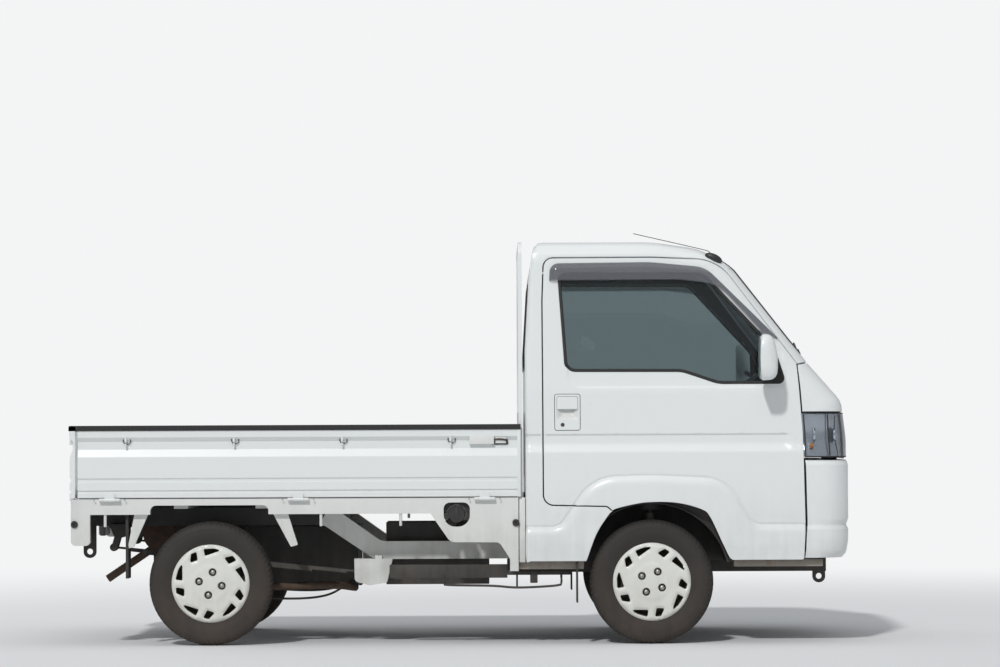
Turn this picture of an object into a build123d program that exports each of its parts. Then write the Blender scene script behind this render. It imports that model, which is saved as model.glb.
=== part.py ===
from build123d import *
import os
from math import atan2, cos, radians, sin, tan

# Kei truck with a drop-side load bed, one STEP file for each piece
# Millimetres: X forward, Y to the left, Z up, origin on the ground below the middle of the truck

# Driving dimensions: whole truck
OVERALL_LENGTH = 3395.0
FRONT_X = OVERALL_LENGTH / 2
REAR_X = -OVERALL_LENGTH / 2
HALF_WIDTH = 737.5
WHEELBASE = 1900.0
FRONT_AXLE_X = 821.5
REAR_AXLE_X = FRONT_AXLE_X - WHEELBASE
RIGHT = -1
LEFT = 1
SIDES = (("right", RIGHT), ("left", LEFT))
ROOT_GAP = 0.3
PANEL_GAP = 5.5

# Driving dimensions: wheels
TYRE_RADIUS = 267.0
TYRE_WIDTH = 147.0
AXLE_Z = TYRE_RADIUS
TRACK = 1290.0
BEAD_RADIUS = 152.4
RIM_SHEET = 5.0
HUB_FACE = 38.0
HUB_BORE = 24.0
CAP_RADIUS = 168.0

# Driving dimensions: cab
CAB_REAR_X = 278.0
CAB_BOTTOM_Z = 350.0
ROOF_Z = 1745.0
COWL_Z = 1206.0
COWL_X = FRONT_X - 171.5
HEADER_X = FRONT_X - 552.5
HEADER_Z = ROOF_Z - 45.0
BOW_AXIS_X = -7500.0
BOW_ANGLE = 12.0
SIDE_SHEET = 42.0
ROOF_SHEET = 24.0
REAR_SHEET = 30.0
FRONT_SHEET = 40.0
CORNER_RADIUS = 120.0
PILLAR_RADIUS = 110.0
LAMP_BOTTOM_Z = 797.0
LAMP_TOP_Z = 994.0
LAMP_INNER_Y = 440.0
LAMP_DEPTH = 34.0
BUMPER_TOP_Z = 789.0
BUMPER_SHEET = 28.0
NOSE_SEAM_X = FRONT_X - 208.5
GLASS_INSET = 6.0
GLASS_SHEET = 5.0
DOOR_HINGE_X = FRONT_X - 211.5
DOOR_HINGE_Y = HALF_WIDTH - 3.5
DOOR_HINGE_ZS = (575.0, 735.0)
BARREL_RADIUS = 3.5
DOOR_CHAMFER = 7.0
BARREL_LENGTH = 26.0

# Driving dimensions: load bed
BED_FRONT_X = 250.0
BED_REAR_X = REAR_X + 49.5
FLOOR_Z = 655.0
FLOOR_SHEET = 12.0
GATE_BOTTOM_Z = 637.0
GATE_TOP_Z = 945.0
GATE_OUTER_Y = 730.0
GATE_SHEET = 25.0
GATE_HINGE_Y = 738.0
GATE_HINGE_Z = 628.0
TAILGATE_INNER_X = REAR_X + 42.5
TAILGATE_OUTER_X = REAR_X + 13.5
BED_END_X = REAR_X + 19.5
TAIL_HINGE_X = REAR_X + 7.5
RAIL_OUTER_Y = 723.0
RAIL_INNER_Y = 680.0
RAIL_TOP_Z = 632.0
RAIL_BOTTOM_Z = 565.0
GUARD_TOP_Z = 1738.0
GUARD_REAR_X = 250.0
GUARD_FRONT_X = 267.0

# Driving dimensions: frame and running gear
FRAME_RAIL_Y = 480.0
FRONT_RAIL_Y = 350.0
RAIL_WIDTH = 50.0
RAIL_LOW_Z = 363.0
RAIL_HEIGHT = 77.0
RAIL_HIGH_Z = 512.0
KINGPIN_Y = TRACK / 2 - 105.0
SPRING_Y = 520.0
PLATFORM_Z = 700.0
EYE_BORE = 13.0
EYE_REACH = 28.0
EYE_SHEET = 12.0
EYE_FRONT_Z = 275.0
EYE_REAR_Z = 400.0
FRONT_EYE_X = FRONT_X - 127.5
REAR_EYE_X = REAR_X + 75.5
FOOTWELL_Z = 395.0

os.makedirs("parts", exist_ok=True)


def outline(corners):
    """Flat face of straight sides, each corner (across, up, radius) rounded by its own arc."""
    count = len(corners)
    arcs = []
    for index, (across, up, radius) in enumerate(corners):
        corner = Vector(across, up)
        before = corners[index - 1]
        after = corners[(index + 1) % count]
        to_before = (Vector(before[0], before[1]) - corner).normalized()
        to_after = (Vector(after[0], after[1]) - corner).normalized()
        half_angle = radians(to_before.get_angle(to_after)) / 2
        trim = radius / tan(half_angle)
        bisector = (to_before + to_after).normalized() if radius else to_before
        middle = corner + bisector * (radius / sin(half_angle) - radius)
        arcs.append((corner + to_before * trim, middle, corner + to_after * trim, radius))
    edges = []
    for index, (start, middle, end, radius) in enumerate(arcs):
        if radius:
            edges.append(Edge.make_three_point_arc(start, middle, end))
        following = arcs[(index + 1) % count][0]
        edges.append(Edge.make_line(end, following))
    return Face(Wire(edges))


def across_prism(corners, y_low, y_high):
    """Solid whose outline in X and Z runs across the truck from y_low to y_high."""
    plane = Plane(origin=(0, y_high, 0), x_dir=(1, 0, 0), z_dir=(0, -1, 0))
    return extrude(plane * outline(corners), amount=y_high - y_low, dir=(0, -1, 0))


def along_prism(corners, x_low, x_high):
    """Solid whose outline in Y and Z runs along the truck from x_low to x_high."""
    plane = Plane(origin=(x_low, 0, 0), x_dir=(0, 1, 0), z_dir=(1, 0, 0))
    return extrude(plane * outline(corners), amount=x_high - x_low, dir=(1, 0, 0))


def upright_prism(corners, z_low, z_high):
    """Solid whose outline in X and Y runs up from z_low to z_high."""
    plane = Plane(origin=(0, 0, z_low), x_dir=(1, 0, 0), z_dir=(0, 0, 1))
    return extrude(plane * outline(corners), amount=z_high - z_low, dir=(0, 0, 1))


def block(x_range, y_range, z_range):
    """Plain box between the given limits."""
    size = [high - low for low, high in (x_range, y_range, z_range)]
    middle = [(high + low) / 2 for low, high in (x_range, y_range, z_range)]
    return Pos(*middle) * Box(*size)


def side_block(side, x_range, out_range, z_range):
    """Box on one side of the truck, with its Y limits counted outwards."""
    near, far = sorted((side * out_range[0], side * out_range[1]))
    return block(x_range, (near, far), z_range)


def side_prism(side, corners, out_range):
    """Solid with an outline in X and Z on one side, with its Y limits counted outwards."""
    near, far = sorted((side * out_range[0], side * out_range[1]))
    return across_prism(corners, near, far)


def rod(start, end, radius):
    """Round bar between two points."""
    start = Vector(*start)
    span = Vector(*end) - start
    plane = Plane(origin=start, z_dir=span.normalized())
    return extrude(plane * Circle(radius), amount=span.length, dir=span.normalized())


def disc(centre, direction, radius, length):
    """Round bar from a centre point along a direction."""
    end = Vector(*centre) + Vector(*direction) * length
    return rod(centre, (end.X, end.Y, end.Z), radius)


def box_outline(a_low, a_high, b_low, b_high, radius=0.0):
    """Corners of a rectangle, all with the same radius."""
    return [(a_low, b_low, radius), (a_high, b_low, radius), (a_high, b_high, radius), (a_low, b_high, radius)]


def save(name, *shapes):
    """Write the solids of one node."""
    solids = [solid for shape in shapes for solid in shape.solids()]
    export_step(Compound(solids), f"parts/{name}.step")


# Cab section seen from the front: half width, height, corner radius
CAB_SECTION = (
    (712.0, 340.0, 0.0),
    (724.0, 430.0, 80.0),
    (725.0, 838.0, 60.0),
    (711.0, 898.0, 40.0),
    (705.0, 1090.0, 120.0),
    (630.0, ROOF_Z - 33.0, 62.0),
)
ROOF_CROWN_RADIUS = 6000.0
ROOF_CROWN_LIFT = 8.2

# Cab seen from the side on its middle line, front half: along, height, corner radius
CAB_FRONT = (
    (FRONT_X - 857.5, ROOF_Z + 3.0, 700.0),
    (HEADER_X, HEADER_Z, 110.0),
    (COWL_X, COWL_Z, 60.0),
    (FRONT_X - 28.5, 1042.0, 72.0),
    (FRONT_X - 9.5, 880.0, 250.0),
    (FRONT_X - 7.5, 340.0, 0.0),
)
WINDSCREEN_SLOPE = atan2(HEADER_Z - COWL_Z, COWL_X - HEADER_X)

# Door outline seen from the side: along, height, corner radius
DOOR_OUTLINE = (
    (CAB_REAR_X + 78.0, 598.5, 45.0),
    (CAB_REAR_X + 76.0, 1480.0, 0.0),
    (CAB_REAR_X + 83.0, ROOF_Z - 77.0, 42.0),
    (FRONT_X - 867.5, ROOF_Z - 76.0, 600.0),
    (FRONT_X - 579.5, ROOF_Z - 87.0, 200.0),
    (FRONT_X - 242.5, COWL_Z, 18.0),
    (FRONT_X - 219.5, 900.0, 300.0),
    (FRONT_X - 211.5, 520.0, 200.0),
    (FRONT_X - 218.5, 357.0, 12.0),
    (FRONT_AXLE_X + 178.5, 357.0, 0.0),
    (FRONT_AXLE_X - 121.5, 597.0, 0.0),
)

# Front wheel arch seen from the side: along, height, corner radius
ARCH_OUTLINE = (
    (FRONT_AXLE_X - 290.5, 330.0, 0.0),
    (FRONT_AXLE_X - 181.5, 600.0, 140.0),
    (FRONT_AXLE_X + 19.5, 612.0, 900.0),
    (FRONT_AXLE_X + 228.5, 597.0, 120.0),
    (FRONT_AXLE_X + 344.5, 330.0, 0.0),
)

# Upper edge of the wider lower body round the arch: along, height, corner radius
FLARE_OUTLINE = (
    (CAB_REAR_X - 10.0, 499.0, 0.0),
    (FRONT_AXLE_X - 394.5, 499.0, 60.0),
    (FRONT_AXLE_X - 252.5, 714.0, 200.0),
    (FRONT_AXLE_X - 2.5, 722.0, 1500.0),
    (FRONT_AXLE_X + 321.5, 706.0, 180.0),
    (FRONT_AXLE_X + 437.5, 507.0, 60.0),
    (FRONT_X - 200.5, 507.0, 0.0),
    (FRONT_X - 200.5, 300.0, 0.0),
    (CAB_REAR_X - 10.0, 300.0, 0.0),
)

# Side window opening: along, height, corner radius
SIDE_WINDOW = (
    (CAB_REAR_X + 177.0, 1176.0, 45.0),
    (CAB_REAR_X + 147.0, ROOF_Z - 145.0, 30.0),
    (FRONT_X - 645.5, ROOF_Z - 148.0, 60.0),
    (FRONT_X - 343.5, 1274.0, 150.0),
    (FRONT_X - 295.5, 1121.0, 22.0),
    (FRONT_X - 584.5, 1121.0, 150.0),
    (FRONT_X - 740.5, 1174.0, 150.0),
)


def cab_body(side, top, front, rear):
    """Whole outer form of the cab, each face moved inwards by its own amount."""
    right = [(-(half - side), up - (top if index == len(CAB_SECTION) - 1 else 0), radius)
             for index, (half, up, radius) in enumerate(CAB_SECTION)]
    left = [(-across, up, radius) for across, up, radius in reversed(right)]
    crown = [(0.0, ROOF_Z + ROOF_CROWN_LIFT - top, ROOF_CROWN_RADIUS)]
    section = along_prism(right + crown + left, CAB_REAR_X - 20, FRONT_X + 20)
    slope_shift = front / sin(WINDSCREEN_SLOPE)
    profile = []
    for index, (along, up, radius) in enumerate(CAB_FRONT):
        shift = slope_shift if 0 < index < 3 else front
        lift = top if index < 2 else 0
        inner_radius = max(radius - front, 0.0)
        profile.append((along - (shift if index else 0), up - lift, inner_radius))
    # The windscreen line keeps its slope when the roof comes down
    drop_shift = top / tan(WINDSCREEN_SLOPE)
    profile[1] = (profile[1][0] + drop_shift, profile[1][1], profile[1][2])
    rear_points = [(0.0, 340.0, 0.0), (0.0, ROOF_Z + 3.0 - top, 0.0)]
    plane = Plane(origin=(0, 0, 0), x_dir=(1, 0, 0), z_dir=(0, -1, 0))
    face = plane * outline(rear_points + profile)
    axis = Axis((BOW_AXIS_X, 0, 0), (0, 0, 1))
    bowed = revolve(face.rotate(axis, -BOW_ANGLE / 2), axis=axis, revolution_arc=BOW_ANGLE)
    back = across_prism(
        [
            (CAB_REAR_X + rear, 330.0, 0.0),
            (CAB_REAR_X + rear, 1265.0, 0.0),
            (303.0 + rear, ROOF_Z - 55.0 - top, 30.0),
            (340.0 + rear, ROOF_Z + 10.0 - top, 0.0),
            (FRONT_X + 50.0, ROOF_Z + 10.0 - top, 0.0),
            (FRONT_X + 50.0, 330.0, 0.0),
        ],
        -900,
        900,
    )
    return section & bowed & back & nose_plan(side, front) & pillar_plan(side, front, RIGHT) & pillar_plan(
        side, front, LEFT
    )


def nose_plan(side, front):
    """Upright prism that rounds the front corners of the cab in plan."""
    half = HALF_WIDTH + 3.0 - side
    radius = max(CORNER_RADIUS - side, 20.0)
    corners = [
        (-200.0, -half, 0.0),
        (FRONT_X - 26.0 - front, -half, radius),
        (FRONT_X + 10.0 - front, 0.0, 0.0),
        (FRONT_X - 26.0 - front, half, radius),
        (-200.0, half, 0.0),
    ]
    return upright_prism(corners, 300.0, 1900.0)


def pillar_plan(side, front, hand):
    """Leaning prism that rounds one windscreen pillar."""
    lean = Vector(-(COWL_X - HEADER_X), -hand * 62.0, HEADER_Z - COWL_Z)
    rise = 1700.0
    direction = lean * (1 / lean.Z)
    start = Vector(COWL_X + 10.0 - front, hand * (716.0 - side), COWL_Z) + direction * (300.0 - COWL_Z)
    far = -hand * 4000.0
    radius = max(PILLAR_RADIUS - front, 20.0)
    corners = [
        (-3500.0, far, 0.0),
        (-3500.0, start.Y, 0.0),
        (start.X, start.Y, radius),
        (start.X, far, 0.0),
    ]
    plane = Plane(origin=(0, 0, 300.0), x_dir=(1, 0, 0), z_dir=(0, 0, 1))
    path = direction * rise
    return extrude(plane * outline(corners), amount=path.length, dir=path.normalized())


def flare_pad(side):
    """Lower body skin round the front arch, which stands proud of the door above it."""
    return side_prism(side, FLARE_OUTLINE, (690.0, HALF_WIDTH))


def even_body(inset):
    """Outer form of the cab with every face moved inwards by the same amount."""
    return cab_body(inset, inset, inset, inset)


def through(face, side, near=400.0, far=900.0):
    """Cutter that runs out through one side of the cab."""
    plane = Plane(origin=(0, side * near, 0), x_dir=(1, 0, 0), z_dir=(0, -1, 0))
    return extrude(plane * face, amount=far - near, dir=(0, side, 0))


# Windscreen opening seen from the front: across, height, corner radius
WINDSCREEN_OUTLINE = (
    (-612.0, 1246.0, 60.0),
    (612.0, 1246.0, 60.0),
    (570.0, ROOF_Z - 83.0, 70.0),
    (-570.0, ROOF_Z - 83.0, 70.0),
)

# Rear window opening seen from behind: across, height, corner radius
REAR_WINDOW_OUTLINE = (
    (-500.0, 1190.0, 50.0),
    (500.0, 1190.0, 50.0),
    (470.0, ROOF_Z - 185.0, 50.0),
    (-470.0, ROOF_Z - 185.0, 50.0),
)

# Smoked visor over the side window: along, height, corner radius
VISOR_OUTLINE = (
    (CAB_REAR_X + 108.0, ROOF_Z - 179.0, 0.0),
    (CAB_REAR_X + 110.0, ROOF_Z - 102.0, 40.0),
    (FRONT_X - 877.5, ROOF_Z - 98.0, 500.0),
    (FRONT_X - 635.5, ROOF_Z - 121.0, 120.0),
    (FRONT_X - 305.5, 1290.0, 6.0),
    (FRONT_X - 397.5, 1335.0, 0.0),
    (FRONT_X - 582.5, ROOF_Z - 197.0, 160.0),
    (FRONT_X - 749.5, ROOF_Z - 178.0, 0.0),
)
VISOR_STAND = 14.0
VISOR_SHEET = 3.0
VISOR_FLANGE = 8.0

# Bumper seen from the side on its middle line, front half: along, height, corner radius
BUMPER_PROFILE = (
    (FRONT_X - 297.5, BUMPER_TOP_Z, 0.0),
    (FRONT_X - 7.5, BUMPER_TOP_Z, 0.0),
    (FRONT_X, 776.0, 0.0),
    (FRONT_X, 530.0, 0.0),
    (FRONT_X - 11.5, 507.0, 0.0),
    (FRONT_X, 484.0, 0.0),
    (FRONT_X - 3.0, 430.0, 0.0),
    (FRONT_X - 14.0, 385.0, 0.0),
    (FRONT_X - 35.5, 362.0, 0.0),
    (FRONT_X - 297.5, 357.0, 0.0),
)


def bowed_solid(corners):
    """Solid of revolution about the distant upright axis that bows the nose in plan."""
    plane = Plane(origin=(0, 0, 0), x_dir=(1, 0, 0), z_dir=(0, -1, 0))
    axis = Axis((BOW_AXIS_X, 0, 0), (0, 0, 1))
    face = (plane * outline(corners)).rotate(axis, -BOW_ANGLE / 2)
    return revolve(face, axis=axis, revolution_arc=BOW_ANGLE)


def build_cab():
    """Cab shell, doors, glass, lamps, bumper and their fittings."""
    skin = even_body(0)
    inner = cab_body(SIDE_SHEET, ROOF_SHEET, FRONT_SHEET, REAR_SHEET)
    for _, side in SIDES:
        skin = skin + (flare_pad(side) & nose_plan(0, 0))
    arches = across_prism(ARCH_OUTLINE, -900, 900)
    trim_low = block((CAB_REAR_X - 80, FRONT_X + 50), (-900, 900), (300, CAB_BOTTOM_Z))
    engine_way = block((200.0, 320.0), (-640.0, 640.0), (300.0, PLATFORM_Z - 20.0))
    shell = skin - inner - arches - trim_low - engine_way

    opening = outline(DOOR_OUTLINE)
    door_face = offset(opening, amount=-PANEL_GAP / 2)
    hole_face = offset(opening, amount=PANEL_GAP / 2)
    window_face = outline(SIDE_WINDOW)
    glass_face = offset(window_face, amount=12.0)
    layer = even_body(GLASS_INSET) - even_body(GLASS_INSET + GLASS_SHEET)
    visor_layer = even_body(-VISOR_STAND - VISOR_SHEET)
    visor_gap = even_body(-VISOR_STAND)

    for name, side in SIDES:
        whole = shell & through(door_face, side)
        door = whole - through(window_face, side)
        glass = layer & through(glass_face, side)
        door = door - glass - edge_chamfer(side)
        for place in DOOR_HINGE_ZS:
            half = BARREL_LENGTH / 2
            web_span = (DOOR_HINGE_X - 12, DOOR_HINGE_X)
            web = side_block(side, web_span, (718.0, DOOR_HINGE_Y + 2), (place - half, place + half))
            door = door + hinge_barrel(side, place) + web
        save(f"door_{name}", door + door_handle(side))
        save(f"door_glass_{name}", glass)
        visor_face = outline(VISOR_OUTLINE)
        visor = visor_layer & through(visor_face, side)
        hollow = visor_gap & through(Pos(0, -VISOR_FLANGE) * visor_face, side)
        save(f"door_visor_{name}", visor - hollow - skin)
        shell = shell - through(hole_face, side)

    # Windscreen and rear window, each let into its wall
    for name, corners, x_range in (
        ("windscreen", WINDSCREEN_OUTLINE, (FRONT_X - 700.0, FRONT_X)),
        ("rear_window", REAR_WINDOW_OUTLINE, (200.0, 500.0)),
    ):
        pane_face = [
            (across * 1.02, up + (12.0 if up > 1400.0 else -12.0), radius) for across, up, radius in corners
        ]
        pane = layer & along_prism(pane_face, *x_range)
        shell = shell - along_prism(corners, *x_range) - pane
        save(name, pane)

    # Nose: bumper, lamps and centre panel share the outer part of the wall
    bumper_zone = block((NOSE_SEAM_X, FRONT_X + 30), (-900, 900), (CAB_BOTTOM_Z - 20, BUMPER_TOP_Z + 0.1))
    bumper_core = cab_body(BUMPER_SHEET, 0, BUMPER_SHEET, 0)
    bumper_skin = along_prism(box_outline(-HALF_WIDTH, HALF_WIDTH, 340.0, 800.0), NOSE_SEAM_X, FRONT_X + 30)
    bumper = bowed_solid(BUMPER_PROFILE) & bumper_skin & nose_plan(0, -5.0)
    bumper = bumper - bumper_core
    for _, side in SIDES:
        for place in DOOR_HINGE_ZS:
            notch_span = (DOOR_HINGE_X - 6, DOOR_HINGE_X + 14)
            notch = side_block(side, notch_span, (690.0, 760.0), (place - 44.0, place + 44.0))
            bumper = bumper - notch
            shell = shell - notch
    shell = shell - (bumper_zone - bumper_core)
    for _, side in SIDES:
        for place in DOOR_HINGE_ZS:
            for end in (-1, 1):
                centre = place + end * (BARREL_LENGTH + KNUCKLE_GAP)
                web = side_block(
                    side, (DOOR_HINGE_X, DOOR_HINGE_X + 8), (684.0, DOOR_HINGE_Y),
                    (centre - BARREL_LENGTH / 2, centre + BARREL_LENGTH / 2),
                )
                shell = shell + hinge_barrel(side, centre) + web
    save("front_bumper", bumper)

    lamp_core = even_body(LAMP_DEPTH)
    lamps = []
    for _, side in SIDES:
        zone = side_block(side, (NOSE_SEAM_X, FRONT_X), (LAMP_INNER_Y, 800.0), (LAMP_BOTTOM_Z, LAMP_TOP_Z))
        lamp = (skin & zone) - lamp_core
        lamps.append(lamp)
        shell = shell - (zone - lamp_core)
    save("headlamps", *lamps)
    panel_zone = block(
        (FRONT_X - 97.5, FRONT_X), (-LAMP_INNER_Y + 4, LAMP_INNER_Y - 4), (LAMP_BOTTOM_Z, LAMP_TOP_Z - 8)
    )
    panel = (skin & panel_zone) - lamp_core
    shell = shell - (panel_zone - lamp_core)
    save("nose_panel", panel)
    for _, side in SIDES:
        shell = shell + side_block(side, FRONT_FLAP_SPAN, (590.0, 715.0), (180.0, CAB_BOTTOM_Z + 25.0))
    save("cab_shell", shell)
    return skin, inner


def edge_chamfer(side):
    """Wedge that eases the outer front edge of a door, so that it opens clear of the bumper."""
    tip_x = NOSE_SEAM_X - PANEL_GAP + 1.0
    skin_y = side * (HALF_WIDTH + 1.0)
    corners = [
        (tip_x, side * (HALF_WIDTH - DOOR_CHAMFER), 0.0),
        (tip_x, skin_y, 0.0),
        (tip_x - DOOR_CHAMFER - 2.0, skin_y, 0.0),
    ]
    return upright_prism(corners, CAB_BOTTOM_Z - 10.0, 560.0)


def hinge_barrel(side, height):
    """One barrel of a door hinge, round the door's axis."""
    foot = (DOOR_HINGE_X, side * DOOR_HINGE_Y, height - BARREL_LENGTH / 2)
    return disc(foot, (0, 0, 1), BARREL_RADIUS, BARREL_LENGTH)


# Black plate that carries the mirror: along, height, corner radius
SAIL_OUTLINE = (
    (FRONT_X - 367.5, 1110.0, 0.0),
    (FRONT_X - 367.5, 1290.0, 0.0),
    (FRONT_X - 337.5, 1290.0, 0.0),
    (FRONT_X - 285.5, 1110.0, 0.0),
)


def door_handle(side):
    """Flap and bezel of the outer door handle."""
    rear = CAB_REAR_X + 129.0
    return side_block(side, (rear, rear + 108.0), (700.0, 716.0), (1000.0, 1071.0)) - side_block(
        side, (rear + 4.0, rear + 104.0), (709.0, 712.0), (995.0, 1016.0)
    )


def build_interior(inner):
    """Floor pan, dashboard, seats and steering wheel."""
    floor = across_prism(
        [
            (CAB_REAR_X, PLATFORM_Z, 0.0),
            (FRONT_X - 532.5, PLATFORM_Z, 25.0),
            (FRONT_X - 497.5, FOOTWELL_Z, 30.0),
            (FRONT_X, FOOTWELL_Z, 0.0),
            (FRONT_X, FOOTWELL_Z - 20.0, 0.0),
            (FRONT_X - 515.5, FOOTWELL_Z - 20.0, 20.0),
            (FRONT_X - 550.5, PLATFORM_Z - 20.0, 15.0),
            (CAB_REAR_X, PLATFORM_Z - 20.0, 0.0),
        ],
        -668.0,
        668.0,
    )
    save("cab_floor", floor & inner)
    dashboard = across_prism(
        [
            (FRONT_X - 277.5, 850.0, 30.0),
            (FRONT_X - 325.5, 1010.0, 60.0),
            (FRONT_X - 297.5, 1120.0, 40.0),
            (FRONT_X - 137.5, 1175.0, 0.0),
            (FRONT_X, 1100.0, 0.0),
            (FRONT_X, 850.0, 0.0),
        ],
        -640.0,
        640.0,
    ) & inner
    save("dashboard", dashboard)
    seats = []
    for _, side in SIDES:
        seat = side_prism(
            side,
            [
                (CAB_REAR_X + 67.0, PLATFORM_Z, 20.0),
                (CAB_REAR_X + 612.0, PLATFORM_Z, 20.0),
                (CAB_REAR_X + 632.0, 838.0, 45.0),
                (CAB_REAR_X + 237.0, 822.0, 30.0),
                (CAB_REAR_X + 177.0, 1330.0, 45.0),
                (CAB_REAR_X + 74.0, 1330.0, 35.0),
                (CAB_REAR_X + 44.0, 900.0, 60.0),
            ],
            (110.0, 585.0),
        )
        seats.append(seat)
    save("seats", *seats)
    hub = (FRONT_X - 532.5, RIGHT * 340.0, 1045.0)
    column_axis = Vector(-0.62, 0.0, 0.785).normalized()
    plane = Plane(origin=hub, z_dir=column_axis)
    rim_face = plane * Plane(origin=(185.0, 0, 0), x_dir=(1, 0, 0), z_dir=(0, -1, 0)) * RegularPolygon(13.0, 8)
    rim = revolve(rim_face, axis=Axis(hub, column_axis))
    boss = extrude(plane.offset(-42.0) * Circle(52.0), amount=36.0, dir=column_axis)
    wheel = rim + boss
    for turn in (90.0, 210.0, 330.0):
        tip = plane.from_local_coords(Vector(178.0 * cos(radians(turn)), 178.0 * sin(radians(turn)), 0.0))
        root = plane.from_local_coords(Vector(30.0 * cos(radians(turn)), 30.0 * sin(radians(turn)), -22.0))
        wheel = wheel + rod((root.X, root.Y, root.Z), (tip.X, tip.Y, tip.Z), 10.0)
    low = Vector(*hub) - column_axis * 40.0
    foot = Vector(*hub) - column_axis * 560.0
    column = rod((foot.X, foot.Y, foot.Z), (low.X, low.Y, low.Z), 24.0)
    column = column + side_block(
        RIGHT, (FRONT_X - 242.5, NOSE_SEAM_X), (320.0, 360.0), (655.0, 860.0)
    )
    column = column - dashboard
    save("steering_wheel", wheel + column)


# Drop gate section: depth from its outer face, height, corner radius
GATE_SECTION = (
    (GATE_SHEET, GATE_BOTTOM_Z, 0.0),
    (1.0, GATE_BOTTOM_Z, 3.0),
    (1.0, 658.0, 1.0),
    (8.0, 661.0, 1.0),
    (8.0, 667.0, 1.0),
    (2.0, 670.0, 1.0),
    (2.0, 704.0, 1.0),
    (8.0, 708.0, 1.0),
    (8.0, 718.0, 1.0),
    (2.0, 722.0, 2.0),
    (2.0, 812.0, 10.0),
    (15.0, 846.0, 8.0),
    (15.0, 879.0, 3.0),
    (0.0, 897.0, 2.0),
    (0.0, 926.0, 0.0),
    (GATE_SHEET, 926.0, 0.0),
)


def gate_cap(outer, inward):
    """Corners of the strip on top of a gate, across its thickness."""
    near = outer - inward * 2.0
    far = outer + inward * (GATE_SHEET + 2.0)
    low, high = sorted((near, far))
    return [(low, 926.0, 0.0), (high, 926.0, 0.0), (high, GATE_TOP_Z, 6.0), (low, GATE_TOP_Z, 6.0)]


HINGE_PLACES = (BED_REAR_X + 138.0, (BED_REAR_X + BED_FRONT_X) / 2, BED_FRONT_X - 147.0)
TAIL_HINGE_PLACES = (-560.0, 0.0, 560.0)
KNUCKLE_RADIUS = 7.5
KNUCKLE_LENGTH = 44.0
KNUCKLE_GAP = 0.3
LEAF_SHEET = 5.0


def build_gates():
    """Side gates and tailgate, with the gate halves of their hinges."""
    for name, side in SIDES:
        section = [(side * (GATE_OUTER_Y - depth), up, radius) for depth, up, radius in GATE_SECTION]
        gate = along_prism(section, BED_REAR_X, BED_FRONT_X - PANEL_GAP)
        for place in HINGE_PLACES:
            span = (place - KNUCKLE_LENGTH / 2, place + KNUCKLE_LENGTH / 2)
            depth = (GATE_OUTER_Y - 3.0, GATE_OUTER_Y + LEAF_SHEET)
            leaf = side_block(side, span, depth, (GATE_HINGE_Z + 3.0, 656.0))
            foot = (span[0], side * GATE_HINGE_Y, GATE_HINGE_Z)
            knuckle = disc(foot, (1, 0, 0), KNUCKLE_RADIUS, KNUCKLE_LENGTH)
            web = side_block(
                side, span, (GATE_OUTER_Y, GATE_HINGE_Y), (GATE_HINGE_Z, GATE_BOTTOM_Z + 6.0)
            )
            gate = gate + leaf + knuckle + web
        cap = along_prism(gate_cap(side * GATE_OUTER_Y, -side), BED_REAR_X, BED_FRONT_X - PANEL_GAP)
        save(f"side_gate_{name}", gate + cap)
    section = [(TAILGATE_OUTER_X + depth, up, radius) for depth, up, radius in GATE_SECTION]
    gate = across_prism(section, -GATE_OUTER_Y, GATE_OUTER_Y)
    for place in TAIL_HINGE_PLACES:
        span = (place - KNUCKLE_LENGTH / 2, place + KNUCKLE_LENGTH / 2)
        leaf = block((TAILGATE_OUTER_X - LEAF_SHEET, TAILGATE_OUTER_X + 3.0), span, (GATE_HINGE_Z + 3.0, 656.0))
        knuckle = disc((TAIL_HINGE_X, span[0], GATE_HINGE_Z), (0, 1, 0), KNUCKLE_RADIUS, KNUCKLE_LENGTH)
        web = block((TAIL_HINGE_X, TAILGATE_OUTER_X), span, (GATE_HINGE_Z, GATE_BOTTOM_Z + 6.0))
        gate = gate + leaf + knuckle + web
    save("tailgate", gate + across_prism(gate_cap(TAILGATE_OUTER_X, 1), -GATE_OUTER_Y, GATE_OUTER_Y))


# Side skirt below the front of the bed: along, height, corner radius
SKIRT_OUTLINE = (
    (-216.0, 600.0, 0.0),
    (-216.0, 571.0, 0.0),
    (-135.0, 571.0, 25.0),
    (-45.0, 441.0, 40.0),
    (165.0, 440.0, 25.0),
    (211.0, 370.0, 30.0),
    (211.0, 316.0, 0.0),
    (248.0, 316.0, 0.0),
    (248.0, 600.0, 0.0),
)
FUEL_POCKET = ((-74.0, 612.0, 28.0), (-74.0, 508.0, 50.0), (39.0, 508.0, 50.0), (39.0, 612.0, 28.0))
FUEL_CAP_PLACE = (-17.5, 561.0)

# Stays below the side rail before and behind the rear wheel: along, height, corner radius
MUDGUARD_STAYS = (
    (
        (REAR_AXLE_X - 327.5, 570.0, 0.0),
        (REAR_AXLE_X - 267.5, 570.0, 0.0),
        (REAR_AXLE_X - 331.5, 424.0, 4.0),
        (REAR_AXLE_X - 357.5, 420.0, 4.0),
    ),
    (
        (REAR_AXLE_X + 267.5, 570.0, 0.0),
        (REAR_AXLE_X + 332.5, 570.0, 0.0),
        (REAR_AXLE_X + 375.5, 432.0, 4.0),
        (REAR_AXLE_X + 345.5, 424.0, 4.0),
    ),
)
REAR_FLAP_SPAN = (REAR_AXLE_X - 366.0, REAR_AXLE_X - 354.0)
FRONT_FLAP_SPAN = (FRONT_AXLE_X - 326.5, FRONT_AXLE_X - 316.5)
FUEL_CAP_RADIUS = 34.0
BEARER_COUNT = 6


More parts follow.
